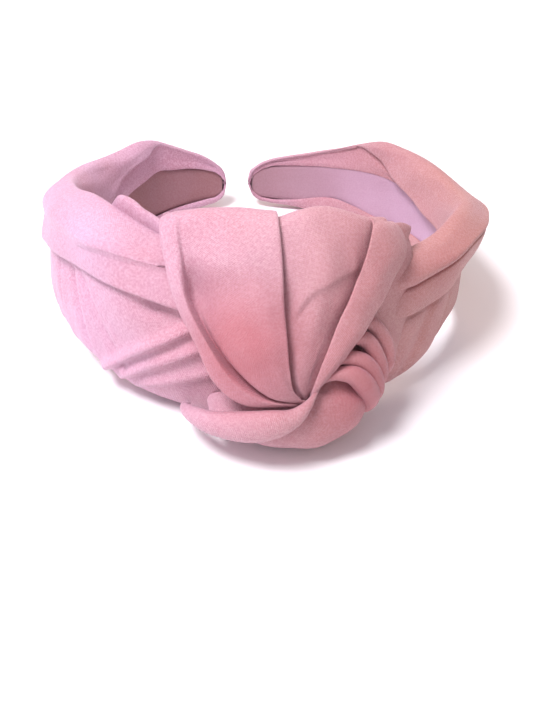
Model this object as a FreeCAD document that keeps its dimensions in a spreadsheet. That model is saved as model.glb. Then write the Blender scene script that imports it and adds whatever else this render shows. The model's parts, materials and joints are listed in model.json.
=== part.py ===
"""Knotted fabric headband, millimetres.

The hoop is drawn in its own plane, with the knot at -Y, the two tips at +Y and the band's width
along Z.  The finished part leans back a little and rests on the knot and the lower wraps, so every
sub-part gets the same Placement, made in resting_placement().
"""
import FreeCAD, Part

import math
import os

import Sketcher

Vec = FreeCAD.Vector
UP = Vec(0, 0, 1)

# Driving dimensions: alias, value in millimetres or degrees.
DIMENSIONS = [
    # hoop centreline in plan: crown arc, side arc and back arc, angles counted from the knot
    ("crown_radius", 72.0),
    ("side_radius", 62.0),
    ("back_radius", 64.0),
    ("crown_reach", 64.0),
    ("crown_angle", 35.0),
    ("side_angle", 130.0),
    ("tip_angle", 178.4),
    # moulded hoop
    ("core_thick", 1.6),
    ("core_width", 30.0),
    ("tip_width", 11.0),
    ("tip_corner", 3.5),
    # lining strip, glued on the inner face
    ("lining_thick", 0.5),
    ("lining_inset", 0.9),
    ("glue_gap", 0.1),
    ("lining_end", 0.6),
    # sponge pad on the outer face of each arm
    ("pad_thick", 1.5),
    ("pad_width", 20.0),
    ("pad_start", 50.0),
    ("pad_end", 145.0),
    ("cloth_gap", 0.3),
    ("layer_gap", 0.12),
    ("turned_edge", 2.2),
    # flex line at each end of the crown
    ("hinge_angle", 41.0),
    ("flex_range", 18.0),
    ("flex_clearance", 0.4),
    # resting attitude
    ("lean_angle", 9.7),
    ("rest_height", 20.87),
    ("centre_shift", 11.78),
]

CUTTER = 240.0
# How far the cutting shapes run past what they cut: factors of the reach, millimetres and degrees.
OVERSHOOT, TAPER_OVERSHOOT = 1.4, 0.1
MIDDLE_GAP = 0.5
SECTOR_MARGIN = 1.0
CORE_SLOT_OVERLAP = 1.0
HEAD_SLOT_DEPTH, HEAD_SLOT_HALF = 16.0, 60.0
ARM_SLOT_LEAD, TIP_SLOT_SPARE = 8.0, 0.3
PAD_SLOT_SPARE = 0.5
CROWN_SLOT_BEYOND = 6.0
FLEX_SPARE = 0.5
BACK_ANGLE = 180.0
# Shares that tell a real cut from none, and a shortened band from a full one.
UNCUT_SHARE, FULL_SHARE = 0.999, 0.99
# Where the tips' corner edges lie, and how short and level they are, in wall thicknesses.
TIP_ZONE_WALLS, TIP_ZONE_SPARE, TIP_ZONE_HALF = 2.5, 1.0, 12.0
SHORT_EDGE, LEVEL_EDGE = 1.2, 0.2
LEFT, RIGHT = -1, 1
SIDE_NAME = {LEFT: "left", RIGHT: "right"}
# Cloth sections whose ellipse starts and ends on the head's side, where the slots cut its seam away.
INSIDE_SEAM = ("left_upper", "right_upper")
SEAM_ANGLE = 270.0

# Cloth sections round the hoop.  Each row: angle from the knot, top, bottom, outer and inner
# reach, all counted from the hoop's centreline.
STATION_COLUMNS = ("angle", "top", "bottom", "outer", "inner")
STATIONS = {
    "left_upper": [
        (41.6, 29.0, -4.0, 12.0, 6.0),
        (52.0, 28.0, -4.0, 10.8, 6.0),
        (65.0, 26.5, -3.0, 9.2, 6.0),
        (80.0, 24.5, -3.0, 7.6, 6.0),
        (95.0, 22.5, -1.0, 6.6, 6.0),
        (110.0, 20.5, 0.0, 6.2, 6.0),
        (125.0, 19.5, 1.0, 5.8, 5.6),
        (140.0, 19.5, 2.0, 5.1, 5.0),
        (155.0, 17.5, 3.0, 4.2, 4.2),
        (168.0, 12.0, 4.0, 3.3, 3.4),
        (179.0, 8.0, 4.6, 2.6, 2.8),
    ],
    "left_lower": [
        (41.6, 14.0, 26.0, 11.2, 6.0),
        (52.0, 14.0, 23.5, 10.2, 6.0),
        (65.0, 13.5, 21.0, 8.8, 6.0),
        (80.0, 13.0, 19.0, 7.2, 6.0),
        (95.0, 12.0, 17.6, 6.0, 6.0),
        (110.0, 11.0, 16.4, 5.4, 6.0),
        (125.0, 10.0, 15.0, 4.8, 5.6),
        (140.0, 8.5, 13.0, 4.2, 5.0),
        (155.0, 7.0, 11.1, 3.4, 4.2),
        (168.0, 5.5, 9.4, 2.8, 3.4),
        (179.0, 4.0, 7.9, 2.3, 2.8),
    ],
    "right_upper": [
        (41.6, 26.0, 3.0, 9.0, 6.0),
        (52.0, 25.5, 3.0, 9.0, 6.0),
        (65.0, 24.0, 3.0, 8.8, 6.0),
        (80.0, 22.0, 3.0, 7.6, 6.0),
        (95.0, 21.5, 3.0, 6.8, 6.0),
        (110.0, 22.0, 3.5, 6.4, 6.0),
        (125.0, 22.0, 4.0, 6.0, 5.6),
        (140.0, 19.5, 4.0, 5.2, 5.0),
        (155.0, 15.0, 4.5, 4.2, 4.2),
        (168.0, 11.0, 5.0, 3.3, 3.4),
        (179.0, 8.0, 5.0, 2.6, 2.8),
    ],
    "right_lower": [
        (41.6, 10.0, 18.0, 4.8, 6.0),
        (52.0, 10.0, 17.2, 4.6, 6.0),
        (65.0, 9.0, 16.8, 4.4, 6.0),
        (80.0, 8.0, 16.6, 4.3, 6.0),
        (95.0, 7.5, 16.4, 4.2, 6.0),
        (110.0, 7.0, 16.0, 4.2, 6.0),
        (125.0, 6.0, 14.8, 4.1, 5.6),
        (140.0, 5.0, 12.8, 3.9, 5.0),
        (155.0, 4.5, 11.0, 3.1, 4.2),
        (168.0, 3.5, 9.4, 2.7, 3.4),
        (179.0, 2.5, 7.9, 2.3, 2.8),
    ],
    "base": [
        (-40.6, 29.0, 26.0, 11.6, 6.0),
        (-27.0, 30.5, 26.5, 13.0, 6.0),
        (-13.0, 32.0, 27.0, 13.5, 6.0),
        (0.0, 32.0, 26.0, 13.5, 6.0),
        (13.0, 31.0, 24.0, 12.0, 6.0),
        (27.0, 28.0, 21.0, 8.6, 6.0),
        (40.6, 26.0, 17.0, 6.4, 6.0),
    ],
    "fan": [
        (-32.5, 34.0, -26.0, 10.0, -5.0),
        (-29.5, 38.0, -6.0, 15.0, 0.0),
        (-24.0, 38.5, 8.0, 19.5, 3.0),
        (-16.0, 39.0, 17.0, 24.0, 3.0),
        (-7.0, 39.0, 21.0, 26.0, 3.0),
        (2.0, 38.0, 12.5, 24.5, 3.0),
        (11.0, 36.5, -3.0, 20.0, 1.0),
        (19.0, 34.5, -16.0, 15.0, 0.0),
        (27.0, 33.0, -26.5, 10.0, -5.0),
    ],
    "cross": [
        (-31.0, -17.0, 23.0, 14.0, -9.0),
        (-25.5, -12.0, 29.0, 19.0, -4.0),
        (-16.0, -9.0, 33.0, 21.0, 0.0),
        (-6.0, -6.0, 35.5, 22.0, 0.0),
        (4.0, 3.0, 35.0, 21.5, 0.0),
        (12.0, 9.0, 31.5, 19.0, 0.0),
        (19.0, 9.0, 26.0, 14.5, 0.0),
        (24.5, 0.0, 18.0, 9.5, 0.0),
    ],
}


def make_sheet(doc):
    """The spreadsheet of driving dimensions and cloth sections."""
    sheet = doc.addObject("Spreadsheet::Sheet", "dims")
    rows = list(DIMENSIONS)
    for table, stations in STATIONS.items():
        for i, station in enumerate(stations):
            names = [f"{table}_{i}_{column}" for column in STATION_COLUMNS]
            rows += list(zip(names, station))
    for row, (alias, value) in enumerate(rows, start=1):
        sheet.set(f"A{row}", alias)
        sheet.set(f"B{row}", str(value))
        sheet.setAlias(f"B{row}", alias)
    doc.recompute()
    return sheet


def size(doc, alias):
    return float(doc.dims.get(alias))


# ---------------------------------------------------------------- hoop centreline


def arc_centres(doc):
    """Centres of the crown, side and back arcs of the right half."""
    crown, side, back = (size(doc, n + "_radius") for n in ("crown", "side", "back"))
    first = math.radians(size(doc, "crown_angle"))
    second = math.radians(size(doc, "side_angle"))
    crown_centre = Vec(0, crown - size(doc, "crown_reach"), 0)
    side_centre = crown_centre + Vec(math.sin(first), -math.cos(first), 0) * (crown - side)
    back_centre = side_centre + Vec(math.sin(second), -math.cos(second), 0) * (side - back)
    return crown_centre, side_centre, back_centre


def outward(angle, hand):
    """Unit vector away from the hoop's inside at an angle in degrees from the knot."""
    a = math.radians(angle)
    return Vec(hand * math.sin(a), -math.cos(a), 0)


def hoop_point(doc, angle, hand):
    """Point of the hoop's centreline at an angle from the knot, on the left or right half."""
    crown_centre, side_centre, back_centre = arc_centres(doc)
    if angle <= size(doc, "crown_angle"):
        centre, radius = crown_centre, size(doc, "crown_radius")
    elif angle <= size(doc, "side_angle"):
        centre, radius = side_centre, size(doc, "side_radius")
    else:
        centre, radius = back_centre, size(doc, "back_radius")
    return Vec(hand * centre.x, centre.y, 0) + outward(angle, hand) * radius


# ---------------------------------------------------------------- sketches


def origin_plane(body, role):
    return next(f for f in body.Origin.OriginFeatures if f.Role == role)


def new_sketch(body, name, role):
    sketch = body.newObject("Sketcher::SketchObject", name)
    sketch.AttachmentSupport = [(origin_plane(body, role), "")]
    sketch.MapMode = "FlatFace"
    return sketch


def bind(sketch, kind, refs, value, expression):
    """Adds one dimensional constraint and ties it to the sheet."""
    index = sketch.addConstraint(Sketcher.Constraint(kind, *refs, value))
    sketch.setExpression(f"Constraints[{index}]", expression)


def arc_of(centre, radius, start, end, hand):
    """Arc from start to end degrees from the knot, counter-clockwise on either half."""
    if hand == RIGHT:
        turn = (math.radians(start - 90), math.radians(end - 90))
    else:
        turn = (math.radians(-90 - end), math.radians(-90 - start))
    return Part.ArcOfCircle(Part.Circle(centre, UP, radius), *turn)


def whole_path(doc, body, offset, offset_text, end_angle, end_text):
    """Centreline sketch from tip to tip at an offset from the hoop's, made of five tangent arcs."""
    sketch = new_sketch(body, body.Name + "_path", "XY_Plane")
    crown_centre, side_centre, back_centre = arc_centres(doc)
    crown = size(doc, "crown_radius") + offset
    side = size(doc, "side_radius") + offset
    back = size(doc, "back_radius") + offset
    first, second = size(doc, "crown_angle"), size(doc, "side_angle")
    middle = sketch.addGeometry(
        Part.ArcOfCircle(
            Part.Circle(crown_centre, UP, crown), math.radians(-90 - first), math.radians(-90 + first)
        )
    )
    sketch.addConstraint(Sketcher.Constraint("PointOnObject", middle, 3, -2))
    bind(sketch, "DistanceY", (-1, 1, middle, 3), crown_centre.y, "dims.crown_radius - dims.crown_reach")
    bind(sketch, "Radius", (middle,), crown, f"dims.crown_radius + {offset_text}")
    for hand, crown_end in ((LEFT, 1), (RIGHT, 2)):
        sign = "-" if hand == LEFT else ""
        bind(
            sketch,
            "DistanceX",
            (-1, 1, middle, crown_end),
            hand * crown * math.sin(math.radians(first)),
            f"{sign}(dims.crown_radius + {offset_text}) * sin(dims.crown_angle * 1 deg)",
        )
        side_at = Vec(hand * side_centre.x, side_centre.y, 0)
        back_at = Vec(hand * back_centre.x, back_centre.y, 0)
        near, far = (2, 1) if hand == LEFT else (1, 2)
        side_arc = sketch.addGeometry(arc_of(side_at, side, first, second, hand))
        sketch.addConstraint(Sketcher.Constraint("Tangent", middle, crown_end, side_arc, near))
        bind(sketch, "Radius", (side_arc,), side, f"dims.side_radius + {offset_text}")
        meet = side_at + outward(second, hand) * side
        bind(
            sketch,
            "DistanceY",
            (-1, 1, side_arc, far),
            meet.y,
            "dims.crown_radius - dims.crown_reach"
            " - (dims.crown_radius - dims.side_radius) * cos(dims.crown_angle * 1 deg)"
            f" - (dims.side_radius + {offset_text}) * cos(dims.side_angle * 1 deg)",
        )
        back_arc = sketch.addGeometry(arc_of(back_at, back, second, end_angle, hand))
        sketch.addConstraint(Sketcher.Constraint("Tangent", side_arc, far, back_arc, near))
        bind(sketch, "Radius", (back_arc,), back, f"dims.back_radius + {offset_text}")
        tip = back_at + outward(end_angle, hand) * back
        centre_text = (
            "(dims.crown_radius - dims.side_radius) * sin(dims.crown_angle * 1 deg)"
            " + (dims.side_radius - dims.back_radius) * sin(dims.side_angle * 1 deg)"
        )
        bind(
            sketch,
            "DistanceX",
            (-1, 1, back_arc, far),
            tip.x,
            f"{sign}({centre_text} + (dims.back_radius + {offset_text}) * sin({end_text} * 1 deg))",
        )
    return sketch


def arm_path(doc, body, offset, offset_text, hand):
    """Centreline sketch of one arm's pad: the side arc and the back arc, tangent to each other."""
    sketch = new_sketch(body, body.Name + "_path", "XY_Plane")
    _, side_centre, back_centre = arc_centres(doc)
    side = size(doc, "side_radius") + offset
    back = size(doc, "back_radius") + offset
    start, middle, end = size(doc, "pad_start"), size(doc, "side_angle"), size(doc, "pad_end")
    side_at = Vec(hand * side_centre.x, side_centre.y, 0)
    back_at = Vec(hand * back_centre.x, back_centre.y, 0)
    near, far = (2, 1) if hand == LEFT else (1, 2)
    sign = "-" if hand == LEFT else ""
    side_x = "(dims.crown_radius - dims.side_radius) * sin(dims.crown_angle * 1 deg)"
    side_y = (
        "(dims.crown_radius - dims.crown_reach"
        " - (dims.crown_radius - dims.side_radius) * cos(dims.crown_angle * 1 deg))"
    )
    back_x = side_x + " + (dims.side_radius - dims.back_radius) * sin(dims.side_angle * 1 deg)"
    side_arc = sketch.addGeometry(arc_of(side_at, side, start, middle, hand))
    bind(sketch, "DistanceX", (-1, 1, side_arc, 3), side_at.x, sign + side_x)
    bind(sketch, "DistanceY", (-1, 1, side_arc, 3), side_at.y, side_y)
    bind(sketch, "Radius", (side_arc,), side, f"dims.side_radius + {offset_text}")
    first = side_at + outward(start, hand) * side
    bind(
        sketch,
        "DistanceX",
        (-1, 1, side_arc, near),
        first.x,
        f"{sign}({side_x} + (dims.side_radius + {offset_text}) * sin(dims.pad_start * 1 deg))",
    )
    meet = side_at + outward(middle, hand) * side
    bind(
        sketch,
        "DistanceY",
        (-1, 1, side_arc, far),
        meet.y,
        f"{side_y} - (dims.side_radius + {offset_text}) * cos(dims.side_angle * 1 deg)",
    )
    back_arc = sketch.addGeometry(arc_of(back_at, back, middle, end, hand))
    sketch.addConstraint(Sketcher.Constraint("Tangent", side_arc, far, back_arc, near))
    bind(sketch, "Radius", (back_arc,), back, f"dims.back_radius + {offset_text}")
    last = back_at + outward(end, hand) * back
    bind(
        sketch,
        "DistanceX",
        (-1, 1, back_arc, far),
        last.x,
        f"{sign}({back_x} + (dims.back_radius + {offset_text}) * sin(dims.pad_end * 1 deg))",
    )
    return sketch


def corner_loop(sketch, corners):
    """Closed polygon whose corners are ties to the sheet: (x, x text, y, y text) each."""
    count = len(corners)
    first = sketch.GeometryCount
    for i in range(count):
        a, b = corners[i], corners[(i + 1) % count]
        sketch.addGeometry(Part.LineSegment(Vec(a[0], a[2], 0), Vec(b[0], b[2], 0)))
    for i in range(count):
        line, following = first + i, first + (i + 1) % count
        sketch.addConstraint(Sketcher.Constraint("Coincident", line, 2, following, 1))
    for i, (x, x_text, y, y_text) in enumerate(corners):
        bind(sketch, "DistanceX", (-1, 1, first + i, 1), x, x_text)
        bind(sketch, "DistanceY", (-1, 1, first + i, 1), y, y_text)


def band_profile(doc, body, at, thick, thick_text, width, width_text):
    """Upright rectangle across the path: thick in the hoop's plane, width along Z."""
    sketch = new_sketch(body, body.Name + "_profile", "YZ_Plane")
    y, y_text = at
    corners = []
    for side, up in ((-1, -1), (1, -1), (1, 1), (-1, 1)):
        y_sign, z_sign = ("+" if side > 0 else "-"), ("" if up > 0 else "-")
        corners.append(
            (
                y + side * thick / 2,
                f"{y_text} {y_sign} ({thick_text}) / 2",
                up * width / 2,
                f"{z_sign}({width_text}) / 2",
            )
        )
    corner_loop(sketch, corners)
    return sketch


def half_reach(doc):
    """Half the hoop's outside width, where the taper starts, with the expression for it."""
    angle = math.radians(size(doc, "crown_angle"))
    shift = (size(doc, "crown_radius") - size(doc, "side_radius")) * math.sin(angle)
    value = shift + size(doc, "side_radius") + size(doc, "core_thick") / 2
    text = (
        "(dims.crown_radius - dims.side_radius) * sin(dims.crown_angle * 1 deg)"
        " + dims.side_radius + dims.core_thick / 2"
    )
    return value, text


def taper_pocket(doc, body, hands, inset, inset_text):
    """Cuts the back half of a band down from its full width at the sides to the tips' width."""
    sketch = new_sketch(body, body.Name + "_taper", "XZ_Plane")
    reach, reach_text = half_reach(doc)
    full, tip = size(doc, "core_width") / 2 - inset, size(doc, "tip_width") / 2 - inset
    full_text, tip_text = (
        f"dims.core_width / 2 - {inset_text}",
        f"dims.tip_width / 2 - {inset_text}",
    )
    clear, clear_text = size(doc, "core_width"), "dims.core_width"
    beyond, beyond_text = reach * OVERSHOOT, f"({reach_text}) * {OVERSHOOT}"
    for hand in hands:
        sign = "-" if hand == LEFT else ""
        for up in (1, -1):
            z_sign = "" if up > 0 else "-"
            corner_loop(
                sketch,
                [
                    (hand * reach, sign + f"({reach_text})", up * full, z_sign + f"({full_text})"),
                    (hand * beyond, sign + beyond_text, up * full, z_sign + f"({full_text})"),
                    (hand * beyond, sign + beyond_text, up * clear, z_sign + clear_text),
                    (hand * MIDDLE_GAP, f"{sign}{MIDDLE_GAP}", up * clear, z_sign + clear_text),
                    (hand * MIDDLE_GAP, f"{sign}{MIDDLE_GAP}", up * tip, z_sign + f"({tip_text})"),
                ],
            )
    doc.recompute()
    before = body.Tip.Shape.Volume
    pocket = body.newObject("PartDesign::Pocket", body.Name + "_taper_cut")
    pocket.Profile = sketch
    pocket.Type = 1
    pocket.Reversed = False
    doc.recompute()
    if not pocket.Shape.Volume < before * UNCUT_SHARE or centre_is_cut(pocket.Shape, before):
        pocket.Reversed = True
        doc.recompute()
    return pocket


def centre_is_cut(shape, before):
    """True when a pocket went towards the knot, where the band keeps its full width."""
    front = Part.makeBox(CUTTER, CUTTER, CUTTER, Vec(-CUTTER / 2, -CUTTER, -CUTTER / 2))
    box = shape.common(front).BoundBox
    return box.ZLength < FULL_SHARE * shape.BoundBox.ZLength


def round_edges(doc, body, chosen, radius_text, radius):
    """Fillets the edges of the body's tip that chosen(edge) accepts."""
    base = body.Tip
    names = [f"Edge{i}" for i, e in enumerate(base.Shape.Edges, start=1) if chosen(e)]
    fillet = body.newObject("PartDesign::Fillet", body.Name + "_fillet")
    fillet.Base = (base, names)
    fillet.Radius = radius
    fillet.setExpression("Radius", radius_text)
    doc.recompute()
    return fillet


def sweep_band(doc, body, path, profile):
    pipe = body.newObject("PartDesign::AdditivePipe", body.Name + "_sweep")
    pipe.Profile = profile
    pipe.Spine = path
    doc.recompute()
    return pipe


# ---------------------------------------------------------------- bands


def tip_corner_edge(shape, wall):
    """Picks the short edges across the wall at the four corners of the two tips."""
    limit = shape.BoundBox.YMax - TIP_ZONE_WALLS * wall - TIP_ZONE_SPARE

    def chosen(edge):
        middle = edge.CenterOfMass
        short = edge.Length < wall * SHORT_EDGE
        level = abs(edge.BoundBox.ZLength) < wall * LEVEL_EDGE
        return short and level and middle.y > limit and abs(middle.x) < TIP_ZONE_HALF

    return chosen


def hoop_core(doc):
    """Moulded hoop, full width round the crown and sides, tapered to rounded tips."""
    body = doc.addObject("PartDesign::Body", "hoop_core")
    thick, width = size(doc, "core_thick"), size(doc, "core_width")
    path = whole_path(doc, body, 0.0, "0", size(doc, "tip_angle"), "dims.tip_angle")
    profile = band_profile(
        doc,
        body,
        (-size(doc, "crown_reach"), "-dims.crown_reach"),
        thick,
        "dims.core_thick",
        width,
        "dims.core_width",
    )
    sweep_band(doc, body, path, profile)
    taper_pocket(doc, body, (LEFT, RIGHT), 0.0, "0")
    corners = tip_corner_edge(body.Tip.Shape, thick)
    round_edges(doc, body, corners, "dims.tip_corner", size(doc, "tip_corner"))
    return body


def inner_lining(doc):
    """Fabric strip glued on the hoop's inner face, a little narrower than the hoop."""
    body = doc.addObject("PartDesign::Body", "inner_lining")
    thick, inset = size(doc, "lining_thick"), size(doc, "lining_inset")
    offset = -(size(doc, "core_thick") / 2 + size(doc, "glue_gap") + thick / 2)
    offset_text = "-(dims.core_thick / 2 + dims.glue_gap + dims.lining_thick / 2)"
    end = size(doc, "tip_angle") - size(doc, "lining_end")
    end_text = "(dims.tip_angle - dims.lining_end)"
    path = whole_path(doc, body, offset, f"({offset_text})", end, end_text)
    profile = band_profile(
        doc,
        body,
        (-size(doc, "crown_reach") - offset, f"-dims.crown_reach - ({offset_text})"),
        thick,
        "dims.lining_thick",
        size(doc, "core_width") - 2 * inset,
        "dims.core_width - 2 * dims.lining_inset",
    )
    sweep_band(doc, body, path, profile)
    taper_pocket(doc, body, (LEFT, RIGHT), inset, "dims.lining_inset")
    radius = size(doc, "tip_corner") - inset
    round_edges(
        doc,
        body,
        tip_corner_edge(body.Tip.Shape, thick),
        "dims.tip_corner - dims.lining_inset",
        radius,
    )
    return body


def sponge_pad(doc, hand):
    """Sponge strip on the outer face of one arm, inside the wraps."""
    body = doc.addObject("PartDesign::Body", SIDE_NAME[hand] + "_pad")
    thick, width = size(doc, "pad_thick"), size(doc, "pad_width")
    offset = size(doc, "core_thick") / 2 + size(doc, "glue_gap") + thick / 2
    offset_text = "(dims.core_thick / 2 + dims.glue_gap + dims.pad_thick / 2)"
    path = arm_path(doc, body, offset, offset_text, hand)
    start = size(doc, "pad_start")
    _, side_centre, _ = arc_centres(doc)
    corners = new_sketch(body, body.Name + "_profile", "XY_Plane")
    corners.AttachmentOffset = FreeCAD.Placement(
        Vec(hand * side_centre.x, side_centre.y, 0),
        FreeCAD.Rotation(outward(start, hand), UP, Vec(0, 0, 0), "XYZ"),
    )
    corner_loop(
        corners,
        [
            (
                size(doc, "side_radius") + offset + side * thick / 2,
                f"dims.side_radius + {offset_text} {'+' if side > 0 else '-'} dims.pad_thick / 2",
                up * width / 2,
                f"{'' if up > 0 else '-'}dims.pad_width / 2",
            )
            for side, up in ((-1, -1), (1, -1), (1, 1), (-1, 1))
        ],
    )
    sweep_band(doc, body, path, corners)
    narrower = (size(doc, "core_width") - width) / 2
    taper_pocket(doc, body, (hand,), narrower, "(dims.core_width - dims.pad_width) / 2")
    return body


# ---------------------------------------------------------------- cloth


def upright_ellipse(doc, name, centre, across, height, height_text, thick, thick_text):
    """Ellipse standing on edge: half height along Z, half thickness along the given direction."""
    ellipse = doc.addObject("Part::Ellipse", name)
    ellipse.MajorRadius, ellipse.MinorRadius = height, thick
    ellipse.setExpression("MajorRadius", height_text)
    ellipse.setExpression("MinorRadius", thick_text)
    rotation = FreeCAD.Rotation(UP, across, Vec(0, 0, 0), "XYZ")
    ellipse.Placement = FreeCAD.Placement(centre, rotation)
    return ellipse


def loft_through(doc, name, sections):
    loft = doc.addObject("Part::Loft", name)
    loft.Sections = sections
    loft.Solid = True
    loft.Ruled = False
    return loft


def bulk_loft(doc, name, table, hand, grow=0.0):
    """Closed form through one table of cloth sections; grow makes a clearance copy of it."""
    sections = []
    for i in range(len(STATIONS[table])):
        values = [size(doc, f"{table}_{i}_{column}") for column in STATION_COLUMNS]
        angle, top, bottom, outer, inner = values
        side = hand if angle >= 0 else -hand
        across = outward(abs(angle), side)
        centre = hoop_point(doc, abs(angle), side) + across * ((outer - inner) / 2)
        centre.z = (top - bottom) / 2
        row = f"dims.{table}_{i}"
        section = upright_ellipse(
            doc,
            f"{name}_section_{i}",
            centre,
            across,
            (top + bottom) / 2 + grow,
            f"({row}_top + {row}_bottom) / 2 + {grow}",
            (outer + inner) / 2 + grow,
            f"({row}_outer + {row}_inner) / 2 + {grow}",
        )
        if table in INSIDE_SEAM:
            section.Angle1 = section.Angle2 = SEAM_ANGLE
        sections.append(section)
    return loft_through(doc, name, sections)


def ring_sector(doc, name, centre, hand, span, radii, half):
    """Upright block between two radii, over a span of angles from the knot."""
    first, last = span
    tools = []
    for part, radius in zip(("outer", "inner"), radii):
        cylinder = doc.addObject("Part::Cylinder", f"{name}_{part}")
        cylinder.Radius = radius
        cylinder.Height = 2 * half
        margin = 0.0 if part == "outer" else SECTOR_MARGIN
        cylinder.Angle = last - first + 2 * margin
        start = (first - margin - 90) if hand == RIGHT else (-90 - last - margin)
        at = Vec(hand * centre.x, centre.y, -half)
        cylinder.Placement = FreeCAD.Placement(at, FreeCAD.Rotation(UP, start))
        tools.append(cylinder)
    return boolean(doc, "Part::Cut", name, *tools)


def slot_round_hoop(doc, name, hand, start, end, inward, outwards, full, tip):
    """Clearance round the hoop, tapering in the back half from full to tip half width."""
    arcs = [
        ("crown", 0.0, size(doc, "crown_angle")),
        ("side", size(doc, "crown_angle"), size(doc, "side_angle")),
        ("back", size(doc, "side_angle"), BACK_ANGLE),
    ]
    sectors = []
    for (alias, first, last), centre in zip(arcs, arc_centres(doc)):
        span = (max(first, start), min(last, end))
        if span[1] > span[0]:
            radius = size(doc, alias + "_radius")
            radii = (radius + outwards, radius - inward)
            sectors.append(ring_sector(doc, f"{name}_{alias}", centre, hand, span, radii, full))
    ring = sectors[0]
    if len(sectors) > 1:
        ring = doc.addObject("Part::MultiFuse", name + "_ring")
        ring.Shapes = sectors
    if full == tip:
        return ring
    reach, _ = half_reach(doc)
    slope = (full - tip) / reach
    beyond = reach * TAPER_OVERSHOOT
    wedges = []
    for label, up in (("top", 1), ("foot", -1)):
        wedge = doc.addObject("Part::Feature", f"{name}_{label}_taper")
        outline = [
            Vec(hand * (reach + beyond), 0, up * (full + slope * beyond)),
            Vec(hand * (reach + beyond), 0, up * full * 2),
            Vec(-hand * beyond, 0, up * full * 2),
            Vec(-hand * beyond, 0, up * (tip - slope * beyond)),
        ]
        face = Part.Face(Part.makePolygon(outline + outline[:1]))
        wedge.Shape = face.extrude(Vec(0, reach * OVERSHOOT, 0))
        wedges.append(wedge)
    taper = doc.addObject("Part::MultiFuse", name + "_taper")
    taper.Shapes = wedges
    return boolean(doc, "Part::Cut", name, ring, taper)


def block(doc, name, placement):
    """Large cube whose lower face, centred on its origin, is put at a placement."""
    box = doc.addObject("Part::Box", name)
    box.Length = box.Width = box.Height = CUTTER
    centring = FreeCAD.Placement(Vec(-CUTTER / 2, -CUTTER / 2, 0), FreeCAD.Rotation())
    box.Placement = placement.multiply(centring)
    return box


def flex_block(doc, hand):
    """Block on the knot's side of the plane that the arm's end may sweep to as it opens."""
    lean = size(doc, "hinge_angle") + size(doc, "flex_range") + FLEX_SPARE
    towards_tip = Vec(hand * math.cos(math.radians(lean)), math.sin(math.radians(lean)), 0)
    at = hoop_point(doc, size(doc, "hinge_angle"), hand) + towards_tip * size(doc, "flex_clearance")
    facing = FreeCAD.Rotation(UP, towards_tip * -1)
    return block(doc, SIDE_NAME[hand] + "_flex_block", FreeCAD.Placement(at, facing))


def boolean(doc, kind, name, base, tool):
    found = doc.addObject(kind, name)
    found.Base, found.Tool = base, tool
    return found


def cut_in_turn(doc, name, base, tools):
    """Cuts the tools away one after another; the last result carries the name."""
    for i, tool in enumerate(tools, start=1):
        step = name if i == len(tools) else f"{name}_cut_{i}"
        base = boolean(doc, "Part::Cut", step, base, tool)
    return base


def hoop_slots(doc, prefix, hand, start, end, tapered):
    """Clearance for the hoop, and for everything on the head's side of the turned-over cloth."""
    gap = size(doc, "cloth_gap")
    full = size(doc, "core_width") / 2 + gap
    tip = size(doc, "tip_width") / 2 + gap if tapered else full
    edge = size(doc, "turned_edge")
    reach_out = size(doc, "core_thick") / 2 + gap
    inward = edge + CORE_SLOT_OVERLAP
    half = HEAD_SLOT_HALF
    head_side = prefix + "_head_side"
    return [
        slot_round_hoop(doc, prefix + "_core_slot", hand, start, end, inward, reach_out, full, tip),
        slot_round_hoop(doc, head_side, hand, start, BACK_ANGLE, HEAD_SLOT_DEPTH, -edge, half, half),
    ]


def arm_wraps(doc, hand):
    """The two layers of cloth on one arm: the upper wrap folds down over the lower one."""
    side = SIDE_NAME[hand]
    gap = size(doc, "cloth_gap")
    pad_outside = size(doc, "core_thick") / 2 + size(doc, "glue_gap") + size(doc, "pad_thick")
    pad_half = size(doc, "pad_width") / 2 + gap
    first = size(doc, "hinge_angle") - ARM_SLOT_LEAD
    last = size(doc, "tip_angle") + TIP_SLOT_SPARE
    tools = hoop_slots(doc, side, hand, first, last, True)
    tools.append(
        slot_round_hoop(
            doc,
            side + "_pad_slot",
            hand,
            size(doc, "pad_start") - PAD_SLOT_SPARE,
            size(doc, "pad_end") + PAD_SLOT_SPARE,
            0.0,
            pad_outside + gap,
            pad_half,
            pad_half - (size(doc, "core_width") - size(doc, "tip_width")) / 2,
        )
    )
    tools.append(flex_block(doc, hand))
    upper_bulk = bulk_loft(doc, side + "_upper_bulk", side + "_upper", hand)
    lower_bulk = bulk_loft(doc, side + "_lower_bulk", side + "_lower", hand)
    upper_room = bulk_loft(doc, side + "_upper_room", side + "_upper", hand, size(doc, "layer_gap"))
    return [
        cut_in_turn(doc, side + "_upper_wrap", upper_bulk, tools),
        cut_in_turn(doc, side + "_lower_wrap", lower_bulk, [upper_room] + tools),
    ]


# ---------------------------------------------------------------- knot


def head_space(doc):
    """The inside of the hoop at the crown, which the knot stays out of."""
    cylinder = doc.addObject("Part::Cylinder", "head_space")
    cylinder.setExpression("Radius", "dims.crown_radius - dims.turned_edge")
    cylinder.Height = CUTTER
    cylinder.Placement.Base = arc_centres(doc)[0] - UP * (CUTTER / 2)
    return cylinder


def floor_block(doc):
    """Everything below the surface that the headband rests on, in the hoop's own frame."""
    upside_down = FreeCAD.Placement(Vec(0, 0, 0), FreeCAD.Rotation(Vec(1, 0, 0), 180))
    return block(doc, "floor_block", resting_placement(doc).inverse().multiply(upside_down))


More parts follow.
